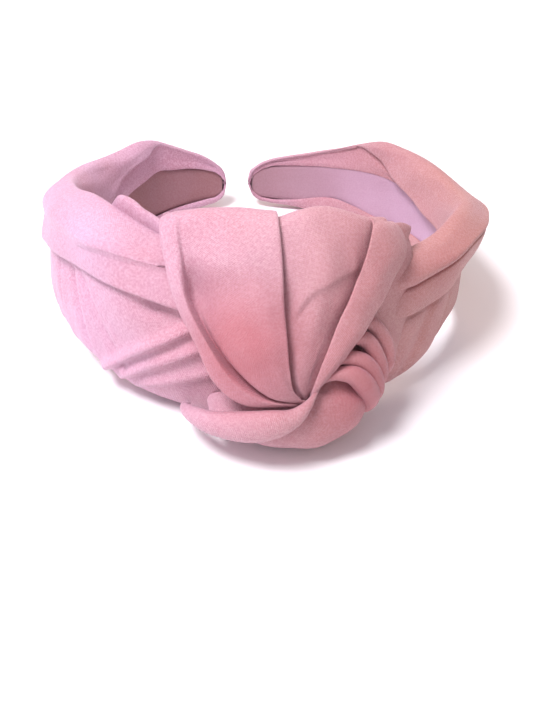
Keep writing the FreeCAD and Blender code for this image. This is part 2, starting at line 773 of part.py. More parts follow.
def knot_pieces(doc):
    """Cloth of the knot: the base round the crown, the fan over it, the loop crossing below."""
    gap = size(doc, "layer_gap")
    beyond = size(doc, "hinge_angle") + CROWN_SLOT_BEYOND
    slots = [
        slot
        for hand in (LEFT, RIGHT)
        for slot in hoop_slots(doc, SIDE_NAME[hand] + "_crown", hand, 0.0, beyond, False)
    ]
    base_bulk = bulk_loft(doc, "base_bulk", "base", RIGHT)
    base = cut_in_turn(doc, "knot_base_wrap", base_bulk, slots)
    base_room = bulk_loft(doc, "base_room", "base", RIGHT, gap)
    fan_bulk = bulk_loft(doc, "fan_bulk", "fan", RIGHT)
    fan = cut_in_turn(doc, "knot_fan", fan_bulk, [base_room, head_space(doc)])
    fan_room = bulk_loft(doc, "fan_room", "fan", RIGHT, gap)
    cross_bulk = bulk_loft(doc, "cross_bulk", "cross", RIGHT)
    cross = cut_in_turn(doc, "knot_cross_loop", cross_bulk, [base_room, fan_room, floor_block(doc)])
    return [base, fan, cross]


# ---------------------------------------------------------------- assembly


def resting_placement(doc):
    """Leans the hoop back on to the surface and puts the origin under its middle."""
    lean = FreeCAD.Rotation(Vec(1, 0, 0), -size(doc, "lean_angle"))
    at = Vec(0, size(doc, "centre_shift"), size(doc, "rest_height"))
    return FreeCAD.Placement(at, lean)


def check(doc, parts):
    """Stops the script when any object failed or a sub-part has no valid solid."""
    for obj in doc.Objects:
        if "Invalid" in obj.State or "Error" in obj.State:
            raise RuntimeError(f"{obj.Name} failed: {obj.State}")
    for obj in parts:
        shape = obj.Shape
        if shape.isNull() or not shape.isValid() or not shape.Solids or shape.Volume <= 0:
            raise RuntimeError(f"{obj.Label} has no valid solid")


def main():
    doc = FreeCAD.newDocument("knotted_headband")
    make_sheet(doc)
    parts = [hoop_core(doc), inner_lining(doc)]
    for hand in (LEFT, RIGHT):
        parts.append(sponge_pad(doc, hand))
        parts += arm_wraps(doc, hand)
    parts += knot_pieces(doc)
    doc.recompute()
    for obj in parts:
        obj.Label = obj.Name
        obj.Placement = resting_placement(doc)
    doc.recompute()
    check(doc, parts)
    os.makedirs("parts", exist_ok=True)
    for obj in parts:
        obj.Shape.exportStep(os.path.join("parts", obj.Label + ".step"))
        box = obj.Shape.BoundBox
        print(
            f"{obj.Label:20s} solids {len(obj.Shape.Solids)} volume {obj.Shape.Volume / 1000:7.2f} cm3"
            f"  x {box.XMin:.1f}..{box.XMax:.1f} y {box.YMin:.1f}..{box.YMax:.1f}"
            f" z {box.ZMin:.1f}..{box.ZMax:.1f}"
        )


main()
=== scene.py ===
"""Looks for the knotted headband: draped cloth, lining, hoop, floor, light and camera.

Shapes are worked out in the hoop's own frame, in millimetres: the knot at -Y, the tips at +Y, the
band's width along Z, and angles in degrees counted from the knot, negative on the left arm.
"""
import json
import math

import bpy
import numpy as np
from mathutils import Matrix, Vector


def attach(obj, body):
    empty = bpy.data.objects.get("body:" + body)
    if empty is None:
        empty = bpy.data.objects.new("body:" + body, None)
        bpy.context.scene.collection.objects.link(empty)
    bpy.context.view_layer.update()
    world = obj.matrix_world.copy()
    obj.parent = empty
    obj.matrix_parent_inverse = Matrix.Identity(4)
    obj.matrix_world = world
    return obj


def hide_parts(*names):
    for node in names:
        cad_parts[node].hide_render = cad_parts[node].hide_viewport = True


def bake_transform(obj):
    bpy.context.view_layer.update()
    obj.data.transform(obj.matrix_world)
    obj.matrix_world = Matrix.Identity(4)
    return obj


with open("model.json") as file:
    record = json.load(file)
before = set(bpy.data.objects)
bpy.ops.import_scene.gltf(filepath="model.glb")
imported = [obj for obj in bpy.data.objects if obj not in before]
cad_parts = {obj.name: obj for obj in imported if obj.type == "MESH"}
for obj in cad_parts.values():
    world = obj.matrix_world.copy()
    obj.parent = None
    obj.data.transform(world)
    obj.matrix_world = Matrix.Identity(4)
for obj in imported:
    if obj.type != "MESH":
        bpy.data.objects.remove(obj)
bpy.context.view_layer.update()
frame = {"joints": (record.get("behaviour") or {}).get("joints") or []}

# ---------------------------------------------------------------- hoop frame, named as in the CAD

CROWN_RADIUS, SIDE_RADIUS, BACK_RADIUS = 72.0, 62.0, 64.0
CROWN_REACH = 64.0
CROWN_ANGLE, SIDE_ANGLE, TIP_ANGLE = 35.0, 130.0, 178.4
HINGE_ANGLE = 41.0
HALF_WIDTH, TIP_HALF = 15.0, 5.5
TIP_CORNER = 3.5
HALF_REACH = 68.5
MM = 0.001


def turned(angle):
    """Unit outward direction(s) in the hoop's plane at signed angles."""
    a = np.radians(angle)
    return np.stack([np.sin(a), -np.cos(a)], axis=-1)


def hoop_point(angle):
    """Point(s) of the hoop's centreline at signed angles."""
    angle = np.asarray(angle, float)
    hand, a = np.where(angle < 0, -1.0, 1.0), np.abs(angle)
    crown = np.array([0.0, CROWN_RADIUS - CROWN_REACH])
    side = crown + (CROWN_RADIUS - SIDE_RADIUS) * turned(CROWN_ANGLE)
    back = side + (SIDE_RADIUS - BACK_RADIUS) * turned(SIDE_ANGLE)
    centre = np.where((a <= SIDE_ANGLE)[..., None], side, back)
    centre = np.where((a <= CROWN_ANGLE)[..., None], crown, centre)
    beyond = np.where(a <= SIDE_ANGLE, SIDE_RADIUS, BACK_RADIUS)
    radius = np.where(a <= CROWN_ANGLE, CROWN_RADIUS, beyond)
    point = centre + radius[..., None] * turned(a)
    return np.stack([hand * point[..., 0], point[..., 1]], axis=-1)


def place(angle, out, z):
    """Point(s) at signed angles, a distance out of the hoop's centreline, and a height."""
    angle, out, z = np.broadcast_arrays(np.asarray(angle, float), out, z)
    flat = hoop_point(angle) + out[..., None] * turned(angle)
    return np.concatenate([flat, z[..., None].astype(float)], axis=-1)


pins = {j["name"]: np.array(j["pos_m"], float) for j in frame["joints"]}
UP = np.array(next(j["axis"] for j in frame["joints"] if j["name"] == "left_arm_flex"), float)
UP /= np.linalg.norm(UP)
ACROSS = np.array([1.0, 0.0, 0.0])
BACK = np.cross(UP, ACROSS)
ORIGIN = (pins["left_arm_flex"] + pins["right_arm_flex"]) / 2 - BACK * hoop_point(HINGE_ANGLE)[1] * MM


def to_row(points):
    """Hoop-frame millimetres to row-frame metres."""
    p = np.asarray(points, float) * MM
    return ORIGIN + p[..., 0:1] * ACROSS + p[..., 1:2] * BACK + p[..., 2:3] * UP


def row_direction(v):
    """A direction in the hoop's frame as one in the row frame."""
    return v[0] * ACROSS + v[1] * BACK + v[2] * UP


# ---------------------------------------------------------------- curves and surfaces


def spline(x, y, q):
    """Smooth curve through (x, y), read at q; y may have further axes."""
    x, y, q = np.asarray(x, float), np.asarray(y, float), np.asarray(q, float)
    slope = np.gradient(y, x, axis=0)
    i = np.clip(np.searchsorted(x, q) - 1, 0, len(x) - 2)
    shape = q.shape + (1,) * (y.ndim - 1)
    h = (x[i + 1] - x[i]).reshape(shape)
    t = ((q - x[i]) / (x[i + 1] - x[i])).reshape(shape)
    return (
        (2 * t**3 - 3 * t**2 + 1) * y[i]
        + (t**3 - 2 * t**2 + t) * h * slope[i]
        + (3 * t**2 - 2 * t**3) * y[i + 1]
        + (t**3 - t**2) * h * slope[i + 1]
    )


def smoothstep(low, high, x):
    """Rises smoothly from 0 at low to 1 at high, which may lie either way round."""
    t = np.clip((x - low) / (high - low), 0, 1)
    return t * t * (3 - 2 * t)


def across(grid, per_span):
    """More columns, on smooth curves through the given ones."""
    n = grid.shape[1]
    q = np.linspace(0, n - 1, (n - 1) * per_span + 1)
    return np.swapaxes(spline(np.arange(n), np.swapaxes(grid, 0, 1), q), 0, 1)


def along(grid, per_span):
    """More rows, on smooth curves through the given ones."""
    n = grid.shape[0]
    return spline(np.arange(n), grid, np.linspace(0, n - 1, (n - 1) * per_span + 1))


def cell_corners(grid):
    """The four corners of each cell of a grid, in turn."""
    return np.stack([grid[:-1, :-1], grid[1:, :-1], grid[1:, 1:], grid[:-1, 1:]], axis=2)


def travelled(grid, axis):
    """Mean distance walked from the grid's first row or column to each of the others."""
    steps = np.linalg.norm(np.diff(grid, axis=axis), axis=2).mean(axis=1 - axis)
    return np.concatenate([[0], np.cumsum(steps)])


def add_mesh(name, grids, closed=False):
    """One smooth object made of grids of points, each (rows, columns, 3) in the hoop's frame.

    A closed grid joins its last column to its first and has a cap at either end.
    """
    vertices, polygons, uv_rows, first = [], [], [], 0
    for grid in grids:
        rows, columns = grid.shape[:2]
        vertices.append(to_row(grid.reshape(-1, 3)))
        index = first + np.arange(rows * columns).reshape(rows, columns)
        first += rows * columns
        if closed:
            index = np.concatenate([index, index[:, :1]], axis=1)
            grid = np.concatenate([grid, grid[:, :1]], axis=1)
        uv = np.stack(np.meshgrid(travelled(grid, 0), travelled(grid, 1), indexing="ij"), axis=-1)
        polygons += cell_corners(index).reshape(-1, 4).tolist()
        uv_rows.append(cell_corners(uv).reshape(-1, 2))
        if closed:
            polygons += [index[0, :-1][::-1].tolist(), index[-1, :-1].tolist()]
            uv_rows.append(np.zeros((2 * columns, 2)))
    mesh = bpy.data.meshes.new(name)
    mesh.from_pydata(np.concatenate(vertices).tolist(), [], polygons)
    layer = mesh.uv_layers.new(name="cloth")
    layer.data.foreach_set("uv", (np.concatenate(uv_rows) * MM).astype(np.float32).ravel())
    mesh.shade_smooth()
    mesh.validate()
    obj = bpy.data.objects.new(name, mesh)
    bpy.context.scene.collection.objects.link(obj)
    return obj


# Which way a surface thickens from the side it was laid out on.
INWARD, OUTWARD = -1.0, 1.0


def solidify(obj, thickness, offset):
    """Gives a surface of cloth its thickness, in mm."""
    modifier = obj.modifiers.new("cloth", "SOLIDIFY")
    modifier.thickness = thickness * MM
    modifier.offset = offset


# ---------------------------------------------------------------- arms
#
# Sections of the cloth round the hoop at the angles of ARM_ANGLES, from the knot to the tip.
# UPPER: "top", "crease", "lining", "fold" and "lip" are heights of the wrap's top, of the crease
# where it turns over inside, of its edge on the lining, of the fold along its outside and of its
# lower lip.  "in" and "out" are how far it stands off inside and outside, "depth" the fold's depth.
# LOWER: "out" is how far the wrap stands off, "middle" and "bottom" are heights of its outside, and
# "edge" is the height of its edge on the lining.

ARM_ANGLES = [
    24, 36, 48, 60, 75, 90, 105, 120, 130, 138, 146, 152, 158, 165, 172, 176, 178.2,
    179.2,
]
UPPER = {
    "left": {
        "top": [
            21.0, 23.4, 27.4, 28.8, 26.8, 23.5, 21.2, 19.6, 19.2, 19.4, 20.6, 20.2,
            17.8, 14.2, 10.6, 7.6, 5.2, 2.6,
        ],
        "crease": [
            -4, -4, -4, -4, -4, -3, 0, 5, 10.5, 14.3, 16.6, 19.2, 17.2, 13.8, 10.2,
            7.2, 4.8, 2.2,
        ],
        "lining": [-8, -8, -8, -8, -8, -7, -6, -4, 0, 4, 7.2, 10.2, 9.8, 9.1, 7.4, 5.9, 3.6, 1.4],
        "in": [
            2.4, 3, 3.8, 4.6, 5.4, 5.6, 5.4, 5.0, 4.6, 4.2, 3.4, 2.4, 2.1, 2.0, 2.0,
            1.9, 1.7, 0.8,
        ],
        "out": [
            9, 11.5, 12.2, 11.2, 9.6, 8.2, 7.2, 6.4, 5.8, 5.2, 4.6, 4.2, 3.8, 3.2, 2.7,
            2.3, 2.0, 1.0,
        ],
        "fold": [18, 19, 20, 20, 18, 15, 12, 10, 9, 9, 9, 9, 8.5, 7, 5.5, 4, 3, 1.4],
        "depth": [
            0.2, 0.2, 0.2, 0.2, 0.2, 0.2, 0.2, 0.2, 0.2, 0.2, 0.2, 0.2, 0.2, 0.1, 0.1,
            0.1, 0, 0,
        ],
        "lip": [
            8, 10.4, 12.2, 12.4, 10.6, 5.5, 1.0, -1.4, -2.2, -2.4, -2.2, -2, -1.6,
            -1.2, -0.8, -0.6, -0.4, -0.2,
        ],
    },
    "right": {
        "top": [
            18.6, 20.2, 22.6, 22.4, 20, 18.6, 20.4, 22, 22.4, 19.8, 16.6, 14.8, 13.0,
            11.3, 9.4, 7.3, 5.0, 2.4,
        ],
        "crease": [
            -2, -2, 0, 1, 2.6, 3.8, 6, 12.5, 18.4, 19.2, 16.2, 14.4, 12.7, 11.0, 9.1,
            7.0, 4.7, 2.1,
        ],
        "lining": [
            -6, -6, -4, -2, 1, 3.4, 5.4, 9.9, 10.8, 10.6, 10.0, 9.8, 9.4, 9.0, 8.2,
            6.2, 4, 1.6,
        ],
        "in": [
            2.4, 3, 3.8, 4.4, 4.8, 5.0, 5.0, 4.6, 3.6, 2.6, 2.2, 2.1, 2.1, 2.0, 2.0,
            1.9, 1.7, 0.8,
        ],
        "out": [
            7.4, 8.6, 9.2, 9.0, 8.2, 7.4, 6.8, 6.2, 5.8, 5.2, 4.6, 4.2, 3.8, 3.2, 2.7,
            2.3, 2.0, 1.0,
        ],
        "fold": [9.5, 12.8, 15.6, 16, 15, 13.5, 12, 11, 10, 9.5, 9, 8.5, 8, 7, 5.5, 4, 3, 1.4],
        "depth": [
            1.8, 2.0, 1.9, 1.6, 1.3, 1.0, 0.8, 0.6, 0.5, 0.4, 0.4, 0.3, 0.2, 0.1, 0.1,
            0.1, 0, 0,
        ],
        "lip": [
            0.5, 1.6, 2.4, 3.2, 3.4, 3.0, 2.4, 1.6, 1.2, 1.0, 1.0, 1.0, 1.0, 0.8, 0.6,
            0.4, 0.2, 0.0,
        ],
    },
}
LOWER = {
    "left": {
        "out": [
            11.2, 11.6, 11.4, 10.4, 8.8, 7.4, 6.3, 5.6, 5.2, 4.8, 4.4, 4.0, 3.6, 3.0,
            2.6, 2.2, 1.9, 0.9,
        ],
        "middle": [
            -6, -6, -5, -4.5, -5, -6, -7, -7.5, -7.5, -7, -6.5, -6, -5.5, -5, -4, -3.4,
            -2.6, -1.2,
        ],
        "bottom": [
            -30.4, -28.4, -25.2, -22.3, -19.8, -18.1, -16.6, -15, -13.9, -13, -12,
            -11.2, -10.4, -9.4, -8.3, -7.1, -4.8, -2.4,
        ],
        "edge": [
            -14, -14, -13.6, -13.4, -13.2, -13, -12.8, -12.4, -12, -11.6, -11.2, -10,
            -8.8, -7.6, -6.4, -5.4, -3.2, -1.2,
        ],
    },
    "right": {
        "out": [
            6.2, 5.2, 3.0, 2.6, 2.6, 2.8, 3.2, 3.6, 3.9, 4.0, 4.1, 3.8, 3.5, 3.0, 2.6,
            2.2, 1.9, 0.9,
        ],
        "middle": [
            -6, -6, -6, -6, -6, -6, -6, -6, -6, -6, -6, -5.6, -5.2, -4.6, -4, -3.4,
            -2.6, -1.2,
        ],
        "bottom": [
            -26.8, -21.4, -16.8, -16.2, -16, -16, -15.8, -15.2, -14.2, -13.2, -12.4,
            -11.6, -10.8, -9.6, -8.4, -7.2, -4.8, -2.4,
        ],
        "edge": [
            -13.6, -13.4, -13, -12.6, -12, -11, -9.6, -8.6, -8, -6, -4.4, -5, -6.4,
            -7.2, -7.0, -5.6, -3.2, -1.2,
        ],
    },
}

# The cloths run on under the knot, and past the hoop's tips until they close there.
UPPER_START, LOWER_START, DENSE_FROM = 14.0, 12.0, 150.0
LAST_ANGLE, CLOSED_ANGLE = 179.38, 179.4
UPPER_ROWS, LOWER_ROWS, BACK_ROWS = 205, 250, 80
# The cloths' edges lie this far out of the hoop's centreline, on the lining.
LINING_FACE = -1.75
# Under the knot the lower wraps' bottoms rise by this much, out of sight.
HIDDEN_RISE = {"left": 1.5, "right": 5.0}
# The soft pleat along the top of the left arm: its height at an angle, and its fall per degree.
TOP_PLEAT_HEIGHT, TOP_PLEAT_ANGLE, TOP_PLEAT_FALL = 27.5, 32, 0.30
# The left lower wrap's upright creases: (angle, lean per mm of height, width, depth).
UPRIGHT_CREASES = [
    (57.5, 0.25, 1.5, 1.6),
    (66.5, 0.12, 1.3, 1.3),
    (50.5, 0.5, 1.7, 1.3),
    (76.0, 0.0, 1.8, 0.8),
    (88.0, -0.1, 2.4, 0.6),
]
# The right lower wrap's creases, likewise.
RIGHT_CREASES = [(33, 0.35, 2.2, 0.8), (46, 0.3, 2.0, 0.5)]
# The hollow where the left arm's cloth goes in under the fan.
HOLLOW_ANGLE, HOLLOW_HEIGHT, HOLLOW_DEPTH = 33, 7.5, 1.6
# The pleats that run into the knot on the left: (angle where it starts, height on the arm at a
# given angle, rise towards the knot in mm per degree, that angle, how far it stands out).
KNOT_PLEATS = [
    (60.0, -23.5, 0.95, 52, 2.3),
    (52.0, -27.0, 0.85, 50, 2.0),
    (46.0, -29.0, 0.60, 49, 1.6),
]


def arm_angles(start, rows):
    """Angles from under the knot to past the tip, closer together in the hoop's back."""
    dense = np.linspace(DENSE_FROM + 0.5, LAST_ANGLE, BACK_ROWS)
    return np.concatenate([np.linspace(start, DENSE_FROM, rows), dense])


def read(table, angles):
    """The table's columns as smooth curves, read at unsigned angles and held level past its ends."""
    held = np.clip(angles, ARM_ANGLES[0], ARM_ANGLES[-1])
    return {k: spline(ARM_ANGLES, v, held) for k, v in table.items()}


def gathered_at_tip(section, angles):
    """Draws the sections together past the hoop's end, which closes the sleeve of cloth."""
    left = np.clip((CLOSED_ANGLE - angles) / (CLOSED_ANGLE - TIP_ANGLE), 0, 1)
    middle = np.array([-0.2, 0.0])
    return middle + (section - middle) * np.sqrt(left)[:, None, None]


def column(out, z):
    """One lengthwise line of a wrap: how far it stands out and its height at each angle."""
    return np.stack(np.broadcast_arrays(out, z), axis=-1)


def valley(x, centre, width, depth):
    """A rounded groove."""
    return -depth * np.exp(-(((x - centre) / width) ** 2))


def pleat(z, line, soft, sharp, height):
    """A raised fold of cloth: it swells softly above its line and drops sharply below it."""
    s = z - line
    return height * np.where(s > 0, np.exp(-((s / soft) ** 2)), np.exp(-((s / sharp) ** 2)))


def upper_cloth(side):
    """The upper wrap: from the lining's edge over the crease and the top, down to its folded lip."""
    hand = -1 if side == "left" else 1
    angles = arm_angles(UPPER_START, UPPER_ROWS)
    t = read(UPPER[side], angles)
    low = read(LOWER[side], angles)
    lip_out = low["out"] + 1.3 * smoothstep(179.2, 172, angles)
    swell = smoothstep(0, 4, t["top"] - t["crease"])
    body = t["top"] - t["lip"]
    points = [
        # Inside, from the edge on the lining up to the crease.
        column(LINING_FACE, t["lining"] - 1.2),
        column(-1.95 - 0.15 * swell, t["lining"] + 0.25),
        column(-t["in"] * 0.55 - 0.6, (t["lining"] * 0.6 + t["crease"] * 0.4)),
        column(-2.1 - 0.1 * swell, t["crease"] - 0.35),
        column(-2.3 - 0.5 * swell, t["crease"] + 0.15),
        # Round the inner roll and over the top.
        column(-2.2 - (t["in"] - 1.6) * swell, t["crease"] - 0.1 + 0.5 * (1 - swell)),
        column(-t["in"] - 0.3 * swell, t["crease"] * 0.72 + t["top"] * 0.28),
        column(-t["in"] * 0.86, t["crease"] * 0.3 + t["top"] * 0.7),
        column(-t["in"] * 0.3, t["top"] - 0.25),
        column(t["out"] * 0.3, t["top"] - 0.1),
        column(t["out"] * 0.8, t["top"] - body * 0.16),
        # Down the outside, in and out of the fold.
        column(t["out"], t["fold"] * 0.55 + t["top"] * 0.45 - body * 0.04),
        column(t["out"] - t["depth"] * 0.1, t["fold"] + 1.1),
        column(t["out"] - t["depth"] * 0.55, t["fold"] + 0.35),
        column(t["out"] - t["depth"], t["fold"]),
        column(t["out"] - t["depth"] * 0.35, t["fold"] - 1.0),
        column((t["out"] + lip_out) / 2 + 0.35, t["fold"] * 0.5 + t["lip"] * 0.5),
        # Round the lip and back up under it.
        column(lip_out + 0.35, t["lip"] + body * 0.06),
        column(lip_out, t["lip"] + 0.1),
        column(lip_out - 0.55, t["lip"] - 0.12),
        column(lip_out - 1.0, t["lip"] + 0.25),
        column(lip_out - 1.9, t["lip"] + body * 0.22),
    ]
    section = gathered_at_tip(across(np.stack(points, axis=1), 7), angles)
    out, z = section[..., 0], section[..., 1]
    a = angles[:, None]
    outer = smoothstep(1.5, 4.0, out)
    if side == "left":
        drift = 0.35 * np.sin(a * 0.16 + z * 0.24) + 0.25 * np.sin(a * 0.31 - z * 0.13 + 1.7)
        line = TOP_PLEAT_HEIGHT - TOP_PLEAT_FALL * (a - TOP_PLEAT_ANGLE)
        out = out + outer * (drift + pleat(z, line, 5.0, 1.6, 0.55) * smoothstep(66, 50, a))
        z = z + 0.25 * np.sin(a * 0.23) * smoothstep(-2, 1, z - t["lip"][:, None])
    else:
        drift = 0.25 * np.sin(a * 0.15 - z * 0.21 + 0.6) + 0.2 * np.sin(a * 0.33 + z * 0.11)
        out = out + outer * drift
    inner = smoothstep(-2.4, -3.6, out)
    out = out - inner * 0.45 * np.sin(a * 0.19 + z * 0.33 + 0.8)
    return place(hand * a, out, z)


def lower_cloth(side):
    """The lower wrap: from under the upper one's lip round the bottom to its edge on the lining."""
    hand = -1 if side == "left" else 1
    angles = arm_angles(LOWER_START, LOWER_ROWS)
    t = read(LOWER[side], angles)
    t["bottom"] = t["bottom"] + HIDDEN_RISE[side] * smoothstep(19, LOWER_START, angles)
    lip = read(UPPER[side], angles)["lip"]
    depth = lip - t["bottom"]
    tip = smoothstep(179.4, 172, angles)
    points = [
        # From behind the upper wrap's lip down the outside.
        column(t["out"] - 2.2, lip + depth * 0.16),
        column(t["out"] - 1.3 * tip, lip + depth * 0.06),
        column(t["out"] - 0.55 * tip, lip - depth * 0.07),
        column(t["out"], (lip + t["middle"]) / 2),
        column(t["out"], t["middle"]),
        column(t["out"] * 0.9, t["middle"] * 0.45 + t["bottom"] * 0.55),
        column(t["out"] * 0.66, t["bottom"] + depth * 0.1),
        # Round the bottom and up to the edge on the lining.
        column(t["out"] * 0.28, t["bottom"] + depth * 0.015),
        column(-0.6, t["bottom"] + depth * 0.01),
        column(-1.9, t["bottom"] * 0.75 + t["edge"] * 0.25),
        column(-2.2, t["bottom"] * 0.35 + t["edge"] * 0.65),
        column(-2.1, t["edge"] - 0.3),
        column(LINING_FACE, t["edge"] + 0.5),
    ]
    section = gathered_at_tip(across(np.stack(points, axis=1), 10), angles)
    out, z = section[..., 0], section[..., 1]
    a = angles[:, None]
    outer = smoothstep(1.0, 3.5, out) * smoothstep(0.3, -2.5, z - lip[:, None])
    if side == "left":
        folds = 0.35 * np.sin(a * 0.21 - z * 0.18)
        fade = smoothstep(-21, -12, z) * smoothstep(12, 6, z)
        for centre, lean, width, deep in UPRIGHT_CREASES:
            folds = folds + valley(a, centre + lean * z, width, deep) * fade
            folds = folds - valley(a, centre + lean * z - 2.2, width, deep * 0.5) * fade
        for start, level, rise, level_angle, high in KNOT_PLEATS:
            line = level + rise * (level_angle - a)
            folds = folds + pleat(z, line, 3.0, 0.55, high) * smoothstep(start, start - 14, a)
        dip = np.exp(-(((a - HOLLOW_ANGLE) / 3.2) ** 2) - (((z - HOLLOW_HEIGHT) / 3.0) ** 2))
        folds = folds - HOLLOW_DEPTH * dip
    else:
        folds = 0.25 * np.sin(a * 0.18 + z * 0.2)
        for centre, lean, width, deep in RIGHT_CREASES:
            folds = folds + valley(a, centre + lean * z, width, deep)
    out = out + outer * folds
    inner = smoothstep(-1.2, -2.0, out) * smoothstep(179, 172, a)
    out = out - inner * 0.35 * (1 + np.sin(a * 0.27 + 0.5))
    return place(hand * a, out, z)


def half_width(angles):
    """The hoop's half width: full to the sides, tapering in the back half, rounded at the tips."""
    point = np.abs(hoop_point(angles)[..., 0])
    taper = TIP_HALF + (HALF_WIDTH - TIP_HALF) * np.clip(point / HALF_REACH, 0, 1)
    wide = np.where(np.abs(angles) > 90, taper, HALF_WIDTH)
    left = np.clip((TIP_ANGLE - np.abs(angles)) * math.radians(1) * BACK_RADIUS, 0, TIP_CORNER)
    return wide - TIP_CORNER + np.sqrt(TIP_CORNER**2 - (TIP_CORNER - left) ** 2)


def band(hand, inside, outside, inset, dome):
    """Half of a flat strip on the hoop, from the middle of the knot to one tip, as closed rings."""
    last = TIP_ANGLE - inset * 0.9
    angles = np.concatenate([np.linspace(0, 170, 130), np.linspace(170.5, last, 34)])
    wide = half_width(angles) - inset
    share = np.linspace(-1, 1, 17)
    edge = 1 - np.abs(share) ** 6
    thick = outside - inside
    front = outside - thick * 0.25 * (1 - edge)
    rear = inside - dome * edge + thick * 0.25 * (1 - edge)
    ring_share = np.concatenate([share, share[::-1]])
    ring_out = np.concatenate([front, rear[::-1]])
    return place(hand * angles[:, None], ring_out[None, :], wide[:, None] * ring_share[None, :])


# ---------------------------------------------------------------- knot

# The knot's front is a dome: how far it reaches at each height, and how much it falls away beside
# its middle line.
FRONT_Z = [-35, -12, -4, 8, 20, 30, 37]
FRONT_REACH = [86, 89, 88, 85, 81, 76, 68]
FRONT_MIDDLE, FRONT_HALF, FRONT_FALL = -8, 36, 15


def knot_front(x, z):
    """Where the knot's front lies along Y at places seen from the front."""
    reach = spline(FRONT_Z, FRONT_REACH, np.clip(z, FRONT_Z[0], FRONT_Z[-1]))
    return -(reach - FRONT_FALL * ((x - FRONT_MIDDLE) / FRONT_HALF) ** 2)


def front_line(points):
    """Points (x, z, lift) on the knot's front as hoop-frame points."""
    p = np.asarray(points, float)
    return np.stack([p[:, 0], knot_front(p[:, 0], p[:, 1]) - p[:, 2], p[:, 1]], axis=1)


